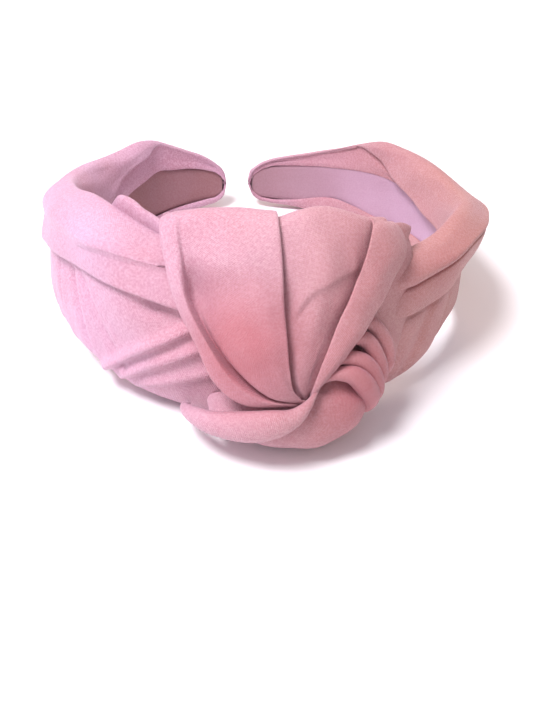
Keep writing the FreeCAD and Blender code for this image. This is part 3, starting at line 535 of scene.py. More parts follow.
# Rails of the fan from its left edge to its right one.  Each has seven places (x, z, lift off the
# knot's front) from the top crest down to the gather.
FAN_RAILS = [
    [(-36.8, 30.6, -13), (-36.8, 23.2, -14), (-34.8, 12.4, -14), (-30.6, 2.4, -13),
     (-25.8, -6.6, -12), (-19.0, -11.8, -9), (-8.4, -13, -5)],
    [(-40.5, 31.5, -5), (-40.2, 24, -5), (-38, 13, -5), (-33.5, 3, -5),
     (-28.5, -6.5, -5), (-21, -11.6, -4), (-8.5, -13, -2)],
    [(-42.6, 32.0, -2), (-42.2, 24, -2), (-39.8, 13, -2), (-35.2, 3, -2),
     (-30.2, -7.4, -2), (-22.3, -12.6, -2), (-8.5, -13.1, -1)],
    [(-43.0, 32.2, 0.2), (-42.6, 24, 0.2), (-40.3, 13, 0.2), (-35.6, 3, 0.4),
     (-30.6, -7.6, 0.4), (-22.5, -13.0, 0.4), (-8.5, -13.2, 0)],
    [(-40.8, 33.4, 1.2), (-40.2, 25, 1.6), (-37.9, 14.2, 1.9), (-33, 4.4, 2.0),
     (-27.6, -4.9, 1.9), (-19.6, -11.2, 1.2), (-8.2, -12.8, 0.4)],
    [(-39.0, 34.0, 1.2), (-38.6, 25.6, 1.2), (-36.8, 14.1, 0.2), (-32.2, 4.1, 1.0),
     (-26.0, -4.5, 1.2), (-18.0, -10.6, 0.8), (-8.0, -12.5, 0.3)],
    [(-37.2, 34.4, 0.6), (-37.2, 26, -0.6), (-35.6, 14, -3.6), (-30.9, 3.7, -3.2),
     (-24.7, -4.1, -2.8), (-17, -10.2, -2.0), (-7.9, -12.4, -0.4)],
    [(-34.0, 35.1, 0.8), (-34.4, 26.8, -0.8), (-33.4, 14.3, -4.4), (-29.8, 4.4, -0.2),
     (-23.6, -3.5, 1.2), (-16.0, -9.8, 1.0), (-7.7, -12.2, 0.3)],
    [(-29.5, 35.9, 1.0), (-29.8, 27.3, 1.0), (-28.6, 15.6, -1.8), (-25.6, 5.6, 1.6),
     (-19.8, -2.5, 2.0), (-13.8, -8.9, 1.4), (-7.4, -12.0, 0.7)],
    [(-21, 36.4, 1.2), (-21.2, 27.6, 2.0), (-20.6, 17.2, 1.8), (-18.0, 7.4, 3.0),
     (-14.6, -1.4, 2.6), (-11.0, -8.1, 1.6), (-7.0, -11.8, 0.8)],
    [(-13.6, 36.1, 1.5), (-14.0, 27.3, 2.2), (-14.0, 17.8, 2.6), (-13.2, 8.3, 2.6),
     (-12.0, -1.1, 2.2), (-10.1, -7.7, 1.5), (-6.9, -11.7, 0.8)],
    [(-11.9, 35.8, 1.3), (-12.3, 27.0, 1.9), (-12.3, 18.0, 2.1), (-11.8, 8.5, 2.1),
     (-11.0, -1.0, 1.8), (-9.7, -7.6, 1.2), (-6.8, -11.6, 0.6)],
    [(-12.1, 35.4, 0.2), (-12.5, 26.8, 0.6), (-12.5, 17.8, 0.7), (-12.0, 8.3, 0.6),
     (-11.2, -1.1, 0.4), (-9.8, -7.7, 0), (-6.8, -11.7, -0.4)],
    [(-15.5, 35.0, -0.8), (-15.8, 26.6, -0.4), (-15.6, 17.6, -0.2), (-14.6, 8.1, -0.2),
     (-12.8, -1.3, -0.4), (-10.6, -7.9, -0.7), (-7.0, -11.8, -1.0)],
    [(-15.3, 34.4, -2.2), (-15.6, 26.4, -2.0), (-15.4, 17.4, -2.0), (-14.4, 8.0, -2.0),
     (-12.6, -1.4, -1.8), (-10.4, -8.0, -1.6), (-6.9, -11.8, -1.6)],
    [(-11.0, 34.2, -1.8), (-11.4, 26.4, -1.4), (-11.4, 17.8, -1.2), (-11.0, 8.5, -1.2),
     (-10.3, -0.9, -1.2), (-9.0, -7.4, -1.2), (-6.4, -11.5, -1.2)],
    [(-4.6, 36.2, -0.2), (-5.4, 28.0, -0.2), (-6.8, 18.6, 0.0), (-7.8, 9.0, 0.2),
     (-8.2, 0.0, 0.3), (-7.8, -7.0, 0), (-5.9, -11.3, -0.6)],
    [(2.6, 36.5, 0.2), (1.0, 28.4, 0.4), (-0.6, 20.4, 1.3), (-3.6, 10.6, 1.0),
     (-5.8, 0.9, 0.6), (-6.6, -6.6, 0.2), (-5.5, -11.1, -0.5)],
    [(9.4, 34.8, 0.0), (6.8, 27.6, -0.6), (4.4, 20.2, 0.4), (0.4, 10.8, 0.2),
     (-3.0, 1.3, 0), (-5.4, -6.2, -0.2), (-5.2, -11.0, -0.7)],
    [(15.2, 32.6, -0.6), (12.2, 26.2, -1.0), (8.8, 19.4, -0.6), (3.8, 10.9, -0.6),
     (-0.8, 2.2, -0.7), (-4.2, -5.6, -0.8), (-4.9, -10.9, -1.0)],
    [(20.6, 31.0, -1.8), (17.6, 25.0, -1.8), (13.4, 17.8, -1.6), (7.8, 9.6, -1.4),
     (2.4, 1.4, -1.2), (-2.0, -5.6, -1.2), (-4.5, -10.8, -1.4)],
    [(20.8, 31.2, -0.9), (17.8, 25.2, -0.8), (13.6, 18.0, -0.6), (8.0, 9.8, -0.5),
     (2.6, 1.6, -0.4), (-1.9, -5.4, -0.5), (-4.4, -10.7, -1.0)],
    [(16.4, 32.0, 0.4), (13.4, 26.1, 0.7), (9.7, 19.9, 0.9), (4.5, 11.3, 0.9),
     (0.1, 2.7, 0.8), (-2.9, -4.9, 0.4), (-4.4, -10.6, -0.5)],
    [(16.9, 32.1, 1.5), (13.9, 26.2, 1.8), (10.3, 19.9, 2.0), (5.1, 11.3, 2.0),
     (0.6, 2.7, 1.7), (-2.5, -4.9, 1.1), (-4.3, -10.5, 0.1)],
    [(20.6, 31.4, 2.0), (20.0, 24.8, 3.0), (15.4, 18.2, 3.2), (9.4, 9.9, 3.0),
     (3.8, 1.6, 2.4), (-0.9, -5.1, 1.5), (-4.0, -10.4, 0.4)],
    [(24.6, 29.9, 1.0), (26.6, 23.0, 1.8), (20.9, 16.6, 2.0), (13.6, 8.8, 2.0),
     (6.8, 1.4, 1.4), (0.7, -5.1, 0.8), (-3.8, -10.3, 0.2)],
    [(25.6, 29.3, -0.6), (28.4, 22.6, -0.2), (22.8, 16.2, 0.0), (15.3, 8.4, 0.2),
     (8.0, 1.2, 0), (1.5, -5.2, -0.2), (-3.7, -10.3, -0.4)],
    [(24.8, 28.9, -2.4), (27.4, 22.4, -2.6), (21.8, 16.0, -2.8), (14.4, 8.2, -2.8),
     (7.2, 1.1, -2.6), (1.0, -5.2, -2.0), (-3.8, -10.4, -1.2)],
    [(28.8, 28.2, -2.2), (28.6, 22.8, -2.4), (22.4, 15.9, -3.0), (14.8, 8.0, -3.2),
     (7.4, 1.0, -3.0), (1.0, -5.2, -2.4), (-3.8, -10.4, -1.4)],
    [(31.6, 26.6, -2.4), (29.4, 22.3, -2.8), (22.6, 15.4, -3.6), (14.8, 7.6, -3.8),
     (7.2, 0.8, -3.6), (0.9, -5.3, -2.8), (-3.9, -10.4, -1.6)],
    [(31.0, 26.2, -5.0), (28.6, 21.6, -5.6), (21.6, 14.8, -6.0), (13.8, 7.2, -6.0),
     (6.4, 0.6, -5.6), (0.5, -5.4, -4.4), (-4.1, -10.5, -2.6)],
]
# The soft fold that crosses the fan's right panel: a line of x against z.
RIDGE_X, RIDGE_Z = [-10.5, -6.5, 1.5, 11.0], [10.5, 17.0, 21.5, 23.0]
# Where each rail goes under the roll after the gather: steps in x, z and lift.
DIVE = [(0.3, -3.4, -4.0), (0.6, -6.0, -10.0)]
# Where each rail comes from over the crown's top edge: how far out, and how far below the crest.
OVER_THE_TOP = [(-2.5, -17, 0), (-3.0, -8, 0), (-0.8, -1.2, 0.1)]


def fan_grid():
    """The pleated fan: over the crown's top edge, down the front and in under the roll."""
    rails = []
    for rail in FAN_RAILS:
        crest_x, crest_z, crest_lift = rail[0]
        front = front_line(rail)
        angle = np.degrees(np.arcsin(np.clip(0.92 * crest_x / CROWN_RADIUS, -0.6, 0.6)))
        head = [
            place(angle, out + 0.25 * crest_lift, crest_z + drop + share * crest_lift)
            for out, drop, share in OVER_THE_TOP
        ]
        dive = [front[-1] + np.array([dx, -lift, dz]) for dx, dz, lift in DIVE]
        rails.append(np.concatenate([np.array(head), front, np.array(dive)]))
    grid = np.stack(rails, axis=1)
    fine = across(along(grid, 12), 8)
    x, z = fine[..., 0], fine[..., 2]
    wave = 0.22 * np.sin(x * 0.55 + z * 0.28) + 0.16 * np.sin(x * 0.23 - z * 0.47 + 1.3)
    fine[..., 1] -= wave * smoothstep(-10, 6, z)
    start, end = RIDGE_X[0], RIDGE_X[-1]
    ridge = spline(RIDGE_X, RIDGE_Z, np.clip(x, start, end))
    on_panel = smoothstep(start, start + 3, x) * smoothstep(end + 1, end - 2, x)
    fine[..., 1] -= pleat(z, ridge, 4.5, 1.6, 1.1) * on_panel * smoothstep(-64, -68, fine[..., 1])
    return fine


# Rows between a roll's given places, points round it, and the share over which an end narrows.
TUBE_ROWS, TUBE_SIDES, TUBE_FADE = 10, 40, 0.25


def tube(path, widths, heights):
    """A closed roll of cloth along a path of points, flattened to its half widths and half depths."""
    n = len(path)
    q = np.linspace(0, n - 1, (n - 1) * TUBE_ROWS + 1)
    line, wide, tall = (spline(np.arange(n), y, q) for y in (path, widths, heights))
    tangent = np.gradient(line, axis=0)
    tangent /= np.linalg.norm(tangent, axis=1)[:, None]
    outward = np.array([0.0, -1.0, 0.0])
    side = np.cross(tangent, outward)
    side /= np.linalg.norm(side, axis=1)[:, None]
    front = np.cross(side, tangent)
    share = q / (n - 1)
    end = np.minimum(smoothstep(0, TUBE_FADE, share + 1e-3), smoothstep(0, TUBE_FADE, 1 - share + 1e-3))
    scale = np.sqrt(np.clip(end, 0.02, 1))
    turn = np.linspace(0, 2 * np.pi, TUBE_SIDES, endpoint=False)
    rim = (wide * scale)[:, None, None] * np.cos(turn)[None, :, None]
    depth = (tall * scale)[:, None, None] * np.sin(turn)[None, :, None]
    return line[:, None, :] + rim * side[:, None, :] + depth * front[:, None, :]


# The roll that crosses below the fan: (x, z, lift, half height, half depth) from end to end.
FRONT_ROLL = [
    (-35.5, -25.5, -15.0, 1.0, 1.0),
    (-37.6, -24.0, -11.0, 1.6, 1.5),
    (-37.6, -22.2, -5.5, 2.0, 1.9),
    (-35.2, -21.2, -1.5, 2.9, 2.5),
    (-30.5, -20.8, 0.4, 3.8, 3.2),
    (-22.5, -19.6, 1.6, 5.0, 3.6),
    (-15.5, -17.6, 2.4, 4.6, 3.2),
    (-10.0, -15.6, 2.4, 3.0, 2.4),
    (-6.0, -12.4, 1.8, 1.6, 1.6),
    (-3.0, -9.2, 0.4, 1.0, 1.0),
    (0.5, -6.6, -2.5, 0.8, 0.8),
]
# The gathers at the knot's right, likewise, from the lowest to the highest.
GATHERS = [
    [
        (-4, -10, -2.0, 0.8, 1.0), (2, -5.6, -0.6, 1.7, 1.6), (8.2, -6.2, 0.4, 2.8, 2.6),
        (12.8, -11.0, 0.4, 3.3, 3.0), (15.6, -17.4, -1.4, 3.2, 3.0), (14.6, -23.0, -6, 2.6, 2.6),
        (10, -24.0, -13, 2.0, 2.0),
    ],
    [
        (-3, -7.5, -3.0, 0.8, 1.0), (4.2, -2.0, -1.6, 1.7, 1.6), (11.0, -3.2, -0.8, 2.5, 2.4),
        (15.8, -9.0, -0.8, 2.8, 2.6), (18.0, -16.4, -2.2, 2.7, 2.6), (17.0, -22.0, -7, 2.2, 2.2),
        (13, -22.5, -14, 1.8, 1.8),
    ],
    [
        (-2.2, -5.4, -4.0, 0.8, 1.0), (6.0, 2.2, -3.0, 1.6, 1.5), (12.6, 1.8, -2.2, 2.4, 2.2),
        (17.0, -4.2, -2.0, 2.6, 2.4), (19.6, -11.6, -3.0, 2.5, 2.4), (19.4, -17.8, -7, 2.0, 2.0),
        (16, -19.5, -13, 1.6, 1.6),
    ],
    [
        (1.4, -2.0, -6.0, 0.8, 1.0), (9.4, 5.2, -4.6, 1.6, 1.5), (15.8, 4.4, -3.8, 2.3, 2.2),
        (20.8, -2.4, -3.4, 2.6, 2.4), (22.8, -9.6, -4.2, 2.4, 2.3), (21.8, -15.4, -8, 1.9, 1.9),
        (18, -17.5, -14, 1.5, 1.5),
    ],
]
# Rails of the big lobe below the gather, from the left under the roll to the right: (x, z, lift).
LOBE_RAILS = [
    [(-8.0, -11.0, -5.0), (-14, -12.5, -7.0), (-21, -14.5, -9.0),
     (-27.5, -17.0, -12), (-31, -21.0, -15), (-30, -23.0, -19)],
    [(-8, -12.5, -2.4), (-14, -17.0, -1.6), (-22, -21.5, -1.4),
     (-28, -24.2, -3.5), (-30, -25.2, -8), (-28, -21, -15)],
    [(-6.6, -12.0, -1.4), (-10.4, -18.4, -0.2), (-17, -24.2, 0.4),
     (-21.6, -27.2, -2.4), (-23, -29.0, -8), (-21, -26, -16)],
    [(-5.4, -12.0, -0.9), (-6.4, -18.6, 0.9), (-9.6, -25.6, 1.6),
     (-12.0, -29.8, -1.6), (-12.8, -32.6, -8), (-12, -29, -17)],
    [(-4.2, -12.2, -0.6), (-2.4, -18.2, 1.6), (-2.2, -25.8, 2.4),
     (-2.4, -30.9, -1.2), (-2.6, -33.9, -8), (-3, -30, -17)],
    [(-3.4, -11.8, -0.6), (1.2, -17.0, 2.0), (4.6, -24.0, 2.8),
     (6.2, -29.6, -1.0), (6.2, -32.6, -8), (5, -29, -17)],
    [(-2.8, -11.0, -0.8), (3.6, -14.8, 1.8), (9.4, -20.4, 2.6),
     (12.6, -25.4, -0.8), (12.8, -27.8, -7), (11, -25, -16)],
    [(-2.5, -10.3, -1.2), (4.6, -12.4, 1.0), (11.0, -15.8, 1.6),
     (15.0, -19.6, -1.2), (15.4, -20.4, -7), (13, -16, -16)],
    [(-2.6, -9.8, -2.2), (4.4, -10.6, -1.2), (10.2, -12.4, -1.4),
     (14.0, -14.4, -4), (14.4, -14.6, -9), (12, -12, -16)],
    [(-2.4, -9.4, -3.4), (4.2, -7.4, -3.6), (10.0, -7.4, -4.6),
     (14.0, -9.4, -7), (15.2, -10.0, -12), (13, -8, -19)],
    [(-2.0, -8.0, -4.6), (4.4, -2.0, -5.4), (10.4, 0.8, -6.4),
     (15.4, -0.6, -9), (17.6, -3.6, -14), (15, -4, -20)],
]


def roll_grid(rows):
    """A roll from its rows of (x, z, lift, half height, half depth)."""
    rows = np.asarray(rows, float)
    return tube(front_line(rows[:, :3]), rows[:, 3], rows[:, 4])


def lobe_grid():
    """The lobe below the gather."""
    grid = np.stack([front_line(rail) for rail in LOBE_RAILS], axis=1)
    fine = across(along(grid, 12), 10)
    x, z = fine[..., 0], fine[..., 2]
    fine[..., 1] -= 0.35 * np.sin(x * 0.42 + z * 0.16 + 0.5) * smoothstep(-8, -16, z)
    return fine


# The cloth under the knot, at these signed angles: heights of its top and bottom, and how far out.
BASE_ANGLES = [-33, -27, -20, -8, 4, 12, 17, 21, 25]
BASE = {
    "top": [26.4, 29, 31, 32, 32, 31.4, 30, 28, 24.6],
    "out": [6.5, 9, 11.5, 13, 12.5, 10.0, 8.4, 7.0, 5.0],
    "bottom": [-24, -25.5, -26.5, -27, -26.5, -25.5, -24.5, -23.5, -22],
}


def base_grid():
    """The cloth wrapped round the crown under the knot."""
    angles = np.linspace(BASE_ANGLES[0], BASE_ANGLES[-1], 120)
    t = {k: spline(BASE_ANGLES, v, angles) for k, v in BASE.items()}
    level = np.zeros_like(angles)
    points = [
        # Inside the crown and over its top.
        column(-1.9 + level, -8.2),
        column(-2.9 + level, -6.0),
        column(-3.2 + level, 3.0),
        column(-3.3 + level, 12.0),
        column(-3.2, t["top"] - 5.0),
        column(-2.2, t["top"] - 0.9),
        column(-0.4, t["top"] - 0.2),
        # Down the outside, under the bottom and up inside the crown again.
        column(t["out"] * 0.6, t["top"] * 0.84),
        column(t["out"], t["top"] * 0.4),
        column(t["out"], t["bottom"] * 0.3),
        column(t["out"] * 0.72, t["bottom"] * 0.8),
        column(t["out"] * 0.25, t["bottom"]),
        column(-1.9, t["bottom"] + 1.2),
        column(-3.2, t["bottom"] * 0.6 - 5.5),
        column(-3.3 + level, -13.8),
        column(-2.0 + level, -12.0),
    ]
    section = across(np.stack(points, axis=1), 8)
    out, z = section[..., 0], section[..., 1]
    a = angles[:, None]
    out = out + smoothstep(-1.0, -2.2, out) * -0.3 * (1 + np.sin(a * 0.35 + z * 0.1))
    return place(a, out, z)


# The flap's top edge: its heights at these angles on the left arm.
FLAP_ANGLES = [35, 38, 41, 44, 47, 50, 53, 56]
FLAP_TOP = [26.6, 27.8, 29.0, 30.2, 31.4, 32.2, 31.6, 28.0]


def flap_grid():
    """The folded edge of cloth that stands inside the left arm's roll, by the knot."""
    angles = np.linspace(FLAP_ANGLES[0], FLAP_ANGLES[-1], 60)
    top = spline(FLAP_ANGLES, FLAP_TOP, angles)
    points = [
        column(-3.2, top - 9),
        column(-3.9, top - 6),
        column(-4.3, top - 2.6),
        column(-3.9, top - 0.5),
        column(-2.9, top),
        column(-1.9, top - 0.7),
        column(-1.5, top - 3),
        column(-1.7, top - 7),
    ]
    section = across(np.stack(points, axis=1), 6)
    ripple = 0.2 * np.sin(angles * 0.9)[:, None]
    return place(-angles[:, None], section[..., 0] + ripple, section[..., 1])


# ---------------------------------------------------------------- materials


def new_material(name):
    """A material with its nodes, its links and its shader."""
    material = bpy.data.materials.new(name)
    material.use_nodes = True
    nodes, links = material.node_tree.nodes, material.node_tree.links
    return material, nodes, links, nodes["Principled BSDF"]


def mix_colour(nodes, links, factor, low, high):
    """From the low colour to the high one; each is a tuple or another node's output."""
    mix = nodes.new("ShaderNodeMix")
    mix.data_type = "RGBA"
    links.new(factor, mix.inputs["Factor"])
    for socket, value in ((mix.inputs[6], low), (mix.inputs[7], high)):
        if isinstance(value, tuple):
            socket.default_value = (*value, 1.0)
        else:
            links.new(value, socket)
    return mix.outputs[2]


def math_node(nodes, links, operation, a, b):
    """Arithmetic on two values; the second may be a plain number."""
    node = nodes.new("ShaderNodeMath")
    node.operation = operation
    for socket, value in zip(node.inputs, (a, b)):
        if isinstance(value, (int, float)):
            socket.default_value = value
        else:
            links.new(value, socket)
    return node.outputs[0]


def ranged(nodes, links, value, low, high, to_low=0.0, to_high=1.0):
    """A value's range low..high stretched to another range, and held at its ends."""
    node = nodes.new("ShaderNodeMapRange")
    links.new(value, node.inputs["Value"])
    limits = {"From Min": low, "From Max": high, "To Min": to_low, "To Max": to_high}
    for key, number in limits.items():
        node.inputs[key].default_value = number
    return node.outputs[0]


def noise(nodes, links, vector, scale, detail=2.0, rough=0.5):
    """Cloudy noise with about this many patches per metre."""
    node = nodes.new("ShaderNodeTexNoise")
    node.inputs["Scale"].default_value = scale
    node.inputs["Detail"].default_value = detail
    node.inputs["Roughness"].default_value = rough
    links.new(vector, node.inputs["Vector"])
    return node.outputs["Fac"]


def dot_product(nodes, links, vector, direction):
    node = nodes.new("ShaderNodeVectorMath")
    node.operation = "DOT_PRODUCT"
    node.inputs[1].default_value = direction
    links.new(vector, node.inputs[0])
    return node.outputs["Value"]


def bumped(nodes, links, height, strength, distance):
    """A bump node with its height linked; its outputs[0] is the normal."""
    node = nodes.new("ShaderNodeBump")
    node.inputs["Strength"].default_value = strength
    node.inputs["Distance"].default_value = distance
    links.new(height, node.inputs["Height"])
    return node


# The weave's pitch in mm, its ribs' angle to the cloth's length and the angle between the two sets.
WEAVE_PITCH, WEAVE_SLANT, WEAVE_CROSSING = 0.42, 38, 86


def weave_height(nodes, links, uv):
    """Fine diagonal ribs of a crepe weave, in two directions of the cloth's own plane."""
    outputs = []
    for turn in (math.radians(WEAVE_SLANT), math.radians(WEAVE_SLANT) + math.radians(WEAVE_CROSSING)):
        mapping = nodes.new("ShaderNodeMapping")
        mapping.inputs["Rotation"].default_value = (0, 0, turn)
        links.new(uv, mapping.inputs["Vector"])
        wave = nodes.new("ShaderNodeTexWave")
        wave.wave_type, wave.bands_direction = "BANDS", "X"
        wave.inputs["Scale"].default_value = math.pi / (WEAVE_PITCH * MM) / 10
        wave.inputs["Distortion"].default_value = 1.2
        wave.inputs["Detail"].default_value = 1.0
        wave.inputs["Detail Scale"].default_value = 1.5
        links.new(mapping.outputs[0], wave.inputs["Vector"])
        outputs.append(wave.outputs["Fac"])
    crossing = math_node(nodes, links, "MULTIPLY", outputs[1], 0.6)
    return math_node(nodes, links, "ADD", outputs[0], crossing)


# Painted light: along this direction, between these two places in metres, the cloth's colour turns from
# one side's to the other's, and these stand for a lit side and a shaded side of the band.
PAINTED_LIGHT_DIRECTION, PAINTED_LIGHT_START, PAINTED_LIGHT_END = (1.0, -0.45, 0.0), -0.05, 0.085
SHEEN_TINT = (0.93, 0.80, 0.97, 1.0)


def cloth_material(name, left, right, deep, pale_left, pale_right, sheen, grain, painted_shade_places=()):
    """Crepe whose colour drifts across the band as painted light, between a lit side and a shaded one,
    and darkens round each hollow as painted shade: (place, reach, share).
    """
    material, nodes, links, shader = new_material(name)
    coords = nodes.new("ShaderNodeTexCoord")
    place_at, uv = coords.outputs["Object"], coords.outputs["UV"]
    # Painted light: the left and right colours, and the pale ones, stand for the band's lit side and
    # its shaded side.
    side = ranged(nodes, links, dot_product(nodes, links, place_at, PAINTED_LIGHT_DIRECTION), PAINTED_LIGHT_START, PAINTED_LIGHT_END)
    base = mix_colour(nodes, links, side, left, right)
    pale = mix_colour(nodes, links, side, pale_left, pale_right)
    # Random mottling towards the deep colour; the same deep colour is the painted shade in the hollows
    # below.
    broad = ranged(nodes, links, noise(nodes, links, place_at, 38, 3.0), 0.35, 0.68)
    base = mix_colour(nodes, links, math_node(nodes, links, "MULTIPLY", broad, 0.45), base, deep)
    # Painted shade: the colour darkens towards deep round each place, where shade falls in the knot's
    # hollows.
    for centre, reach, share in painted_shade_places:
        apart = nodes.new("ShaderNodeVectorMath")
        apart.operation = "DISTANCE"
        apart.inputs[1].default_value = tuple(to_row(np.array(centre)))
        links.new(place_at, apart.inputs[0])
        painted_shade_share = ranged(nodes, links, apart.outputs["Value"], reach * MM, reach * 0.25 * MM, 0.0, share)
        base = mix_colour(nodes, links, painted_shade_share, base, deep)
        pale = mix_colour(nodes, links, painted_shade_share, pale, deep)
    speck = ranged(nodes, links, noise(nodes, links, place_at, 1500, 2.0, 0.7), 0.38, 0.66)
    base = mix_colour(nodes, links, math_node(nodes, links, "MULTIPLY", speck, grain), base, pale)
    ribs = weave_height(nodes, links, uv)
    base = mix_colour(nodes, links, math_node(nodes, links, "MULTIPLY", ribs, grain * 0.35), base, pale)
    links.new(base, shader.inputs["Base Color"])
    links.new(ranged(nodes, links, speck, 0, 1, 0.62, 0.44), shader.inputs["Roughness"])
    shader.inputs["Specular IOR Level"].default_value = 0.75
    shader.inputs["Sheen Weight"].default_value = sheen
    shader.inputs["Sheen Roughness"].default_value = 0.42
    shader.inputs["Sheen Tint"].default_value = SHEEN_TINT
    fine = math_node(nodes, links, "ADD", ribs, math_node(nodes, links, "MULTIPLY", speck, 0.8))
    weave_bump = bumped(nodes, links, fine, 0.8, 0.00012)
    soft_bump = bumped(nodes, links, noise(nodes, links, place_at, 170, 3.0), 0.35, 0.0006)
    links.new(weave_bump.outputs[0], soft_bump.inputs["Normal"])
    links.new(soft_bump.outputs[0], shader.inputs["Normal"])
    return material


def darker(colour, share):
    return tuple(share * c for c in colour)


def plastic_material(name, colour):
    """Moulded plastic, faintly mottled."""
    material, nodes, links, shader = new_material(name)
    place_at = nodes.new("ShaderNodeTexCoord").outputs["Object"]
    mottled = noise(nodes, links, place_at, 90, 4.0)
    tone = mix_colour(nodes, links, mottled, colour, darker(colour, 0.86))
    links.new(tone, shader.inputs["Base Color"])
    links.new(ranged(nodes, links, mottled, 0.3, 0.7, 0.42, 0.55), shader.inputs["Roughness"])
    bump = bumped(nodes, links, noise(nodes, links, place_at, 900, 2.0), 0.2, 0.0001)
    links.new(bump.outputs[0], shader.inputs["Normal"])
    return material


# Painted shade: places on the knot round which the rose darkens, standing for the shade in its hollows:
# (place in the hoop's frame, reach in mm, share).
PAINTED_SHADE_PLACES = [((-24, -84, 4), 24, 0.85), ((14, -83, -14), 24, 0.7)]
# Painted light: the lilac left colours are the cover's lit side, the dark salmon right ones its shaded
# side.
COVER = cloth_material(
    "satin_crepe",
    left=(0.53, 0.265, 0.39),
    right=(0.40, 0.135, 0.085),
    deep=(0.42, 0.10, 0.12),
    pale_left=(0.82, 0.56, 0.72),
    pale_right=(0.53, 0.26, 0.20),
    sheen=0.30,
    grain=0.42,
    painted_shade_places=PAINTED_SHADE_PLACES,
)
# Painted light: the lining's dark left colours are its shaded side, the lilac right ones its lit side.
LINING = cloth_material(
    "lining_satin",
    left=(0.29, 0.11, 0.11),
    right=(0.66, 0.44, 0.64),
    deep=(0.34, 0.17, 0.22),
    pale_left=(0.50, 0.30, 0.34),
    pale_right=(0.74, 0.54, 0.70),
    sheen=0.08,
    grain=0.14,
)
PLASTIC = plastic_material("hoop_plastic", (0.62, 0.46, 0.50))


def finish_piece(obj, material, nodes=()):
    """Gives a piece its material, and hides the CAD nodes that it replaces."""
    obj.data.materials.append(material)
    if nodes:
        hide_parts(*nodes)


# ---------------------------------------------------------------- pieces

# The cloth's thickness on the arms and under the knot, on the fan and lobe, and in the flap, in mm.
COVER_THICK, KNOT_THICK, FLAP_THICK = 0.45, 0.5, 0.4
# Inner face, outer face, inset from the hoop's edge and how far the inner face domes.
CORE_BAND = (-0.8, 0.8, 0.25, 0.0)
LINING_BAND = (-1.45, -0.9, 0.5, 0.12)


def bend_with_arm(obj):
    """Bakes the placement of one arm's cloth and hoop into their meshes."""
    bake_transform(obj)


for side, hand in (("left", -1), ("right", 1)):
    hoop = side + "_hoop"
    core = add_mesh(hoop, [band(hand, *CORE_BAND)], closed=True)
    finish_piece(core, PLASTIC, ["hoop_core"])
    lining = add_mesh(side + "_lining", [band(hand, *LINING_BAND)], closed=True)
    finish_piece(lining, LINING, ["inner_lining"])
    upper = add_mesh(side + "_upper_cloth", [upper_cloth(side)])
    finish_piece(upper, COVER, [side + "_upper_wrap", side + "_pad"])
    solidify(upper, COVER_THICK, OUTWARD)
    lower = add_mesh(side + "_lower_cloth", [lower_cloth(side)])
    finish_piece(lower, COVER, [side + "_lower_wrap"])
    solidify(lower, COVER_THICK, OUTWARD)
    for piece in (core, lining, upper, lower):
        bend_with_arm(piece)

flap = add_mesh("left_inner_flap", [flap_grid()])
finish_piece(flap, COVER)
solidify(flap, FLAP_THICK, INWARD)
bend_with_arm(flap)

fan = add_mesh("knot_fan_cloth", [fan_grid()])
finish_piece(fan, COVER, ["knot_fan"])
base = add_mesh("knot_base_cloth", [base_grid()])
finish_piece(base, COVER, ["knot_base_wrap"])
roll = add_mesh("knot_front_roll", [roll_grid(FRONT_ROLL)], closed=True)
finish_piece(roll, COVER, ["knot_cross_loop"])
gathers = add_mesh("knot_gathers", [roll_grid(rows) for rows in GATHERS], closed=True)
finish_piece(gathers, COVER, ["knot_cross_loop"])
lobe = add_mesh("knot_lobe_cloth", [lobe_grid()])
finish_piece(lobe, COVER, ["knot_cross_loop"])
solidify(fan, KNOT_THICK, INWARD)
solidify(base, COVER_THICK, OUTWARD)
solidify(lobe, KNOT_THICK, INWARD)
for piece in (fan, base, roll, gathers, lobe):
    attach(piece, "crown")

# ---------------------------------------------------------------- floor, light and camera


FLOOR_REACH = 6.0


def pale_surface(name, colour):
    """A matt surface of very nearly one colour."""
    material, nodes, links, shader = new_material(name)
    place_at = nodes.new("ShaderNodeTexCoord").outputs["Object"]
    cloud = noise(nodes, links, place_at, 6, 2.0)
    tone = mix_colour(nodes, links, cloud, colour, darker(colour, 0.985))
    links.new(tone, shader.inputs["Base Color"])
    shader.inputs["Roughness"].default_value = 0.9
    shader.inputs["Specular IOR Level"].default_value = 0.1
    return material


floor_mesh = bpy.data.meshes.new("floor")
floor_corners = [(x * FLOOR_REACH, y * FLOOR_REACH, 0) for x, y in ((-1, -1), (1, -1), (1, 1), (-1, 1))]
floor_mesh.from_pydata(floor_corners, [], [(0, 1, 2, 3)])
floor = bpy.data.objects.new("floor", floor_mesh)
bpy.context.scene.collection.objects.link(floor)
floor_mesh.materials.append(pale_surface("pale_floor", (0.93, 0.92, 0.92)))


AIM = (0.0, -0.01, 0.03)


def area_light(name, at, size, power, colour):
    """A round soft light that faces the headband."""
    data = bpy.data.lights.new(name, "AREA")
    data.shape, data.size = "DISK", size
    data.energy, data.color = power, colour
    light = bpy.data.objects.new(name, data)
    light.location = at
    light.rotation_mode = "QUATERNION"
    light.rotation_quaternion = (Vector(AIM) - Vector(at)).to_track_quat("-Z", "Y")
    bpy.context.scene.collection.objects.link(light)


area_light("key", (-0.40, -0.18, 0.82), 0.34, 10.5, (0.98, 0.96, 1.0))
area_light("fill", (0.75, -0.55, 0.35), 0.8, 0.8, (1.0, 0.80, 0.66))
area_light("rim", (0.30, 0.70, 0.60), 0.5, 3.2, (1.0, 0.80, 0.64))

# The sky is pale in this direction and dim and warm on the other side.
SKY_DIRECTION = (-0.60, -0.06, 0.80)
SKY_DIM, SKY_PALE = (0.13, 0.07, 0.05), (0.78, 0.77, 0.88)


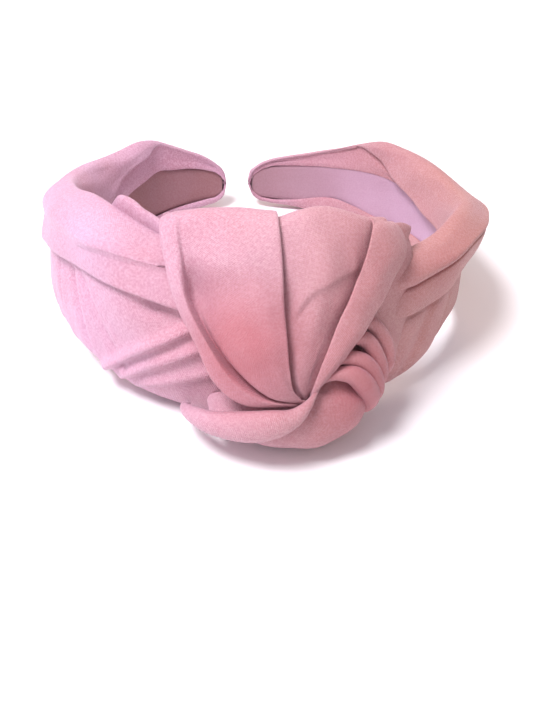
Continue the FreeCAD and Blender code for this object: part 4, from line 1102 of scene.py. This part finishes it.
def studio_sky():
    world = bpy.data.worlds.new("studio")
    bpy.context.scene.world = world
    world.use_nodes = True
    nodes, links = world.node_tree.nodes, world.node_tree.links
    around = nodes.new("ShaderNodeTexCoord").outputs["Generated"]
    share = ranged(nodes, links, dot_product(nodes, links, around, SKY_DIRECTION), -0.4, 1.0)
    background = nodes["Background"]
    links.new(mix_colour(nodes, links, share, SKY_DIM, SKY_PALE), background.inputs["Color"])
    background.inputs["Strength"].default_value = 1.0


studio_sky()

# The camera as solved against the hoop's outline: its place round the hoop's centre in degrees and
# millimetres, then its turns away from that centre.
DISTANCE, ELEVATION, AZIMUTH = 330.0, 22.5, -12.0
TILT, PAN, ROLL = 7.2177, -0.2827, 2.0
LENS, SENSOR = 46.177, 36.0
NEAREST, FARTHEST = 0.01, 20.0


def rotated(vector, axis, degrees):
    return Matrix.Rotation(math.radians(degrees), 3, axis) @ vector


def hoop_camera():
    """The camera's place and its right, up and backward directions, in the hoop's frame."""
    e, az = math.radians(ELEVATION), math.radians(AZIMUTH)
    backward = Vector((math.sin(az) * math.cos(e), -math.cos(az) * math.cos(e), math.sin(e)))
    eye = DISTANCE * backward
    right = Vector((0, 0, 1)).cross(backward).normalized()
    up = backward.cross(right)
    up, backward = rotated(up, right, -TILT), rotated(backward, right, -TILT)
    right, backward = rotated(right, up, PAN), rotated(backward, up, PAN)
    right, up = rotated(right, backward, ROLL), rotated(up, backward, ROLL)
    return eye, (right, up, backward)


camera_data = bpy.data.cameras.new("camera")
camera = bpy.data.objects.new("camera", camera_data)
bpy.context.scene.collection.objects.link(camera)
eye, camera_axes = hoop_camera()
axes = Matrix([row_direction(v) for v in camera_axes]).transposed()
camera.matrix_world = Matrix.Translation(Vector(to_row(np.array(eye)))) @ axes.to_4x4()
camera_data.sensor_fit = "AUTO"
camera_data.sensor_width = SENSOR
camera_data.lens = LENS
camera_data.clip_start, camera_data.clip_end = NEAREST, FARTHEST
bpy.context.scene.camera = camera
bpy.context.scene.view_settings.view_transform = "Standard"
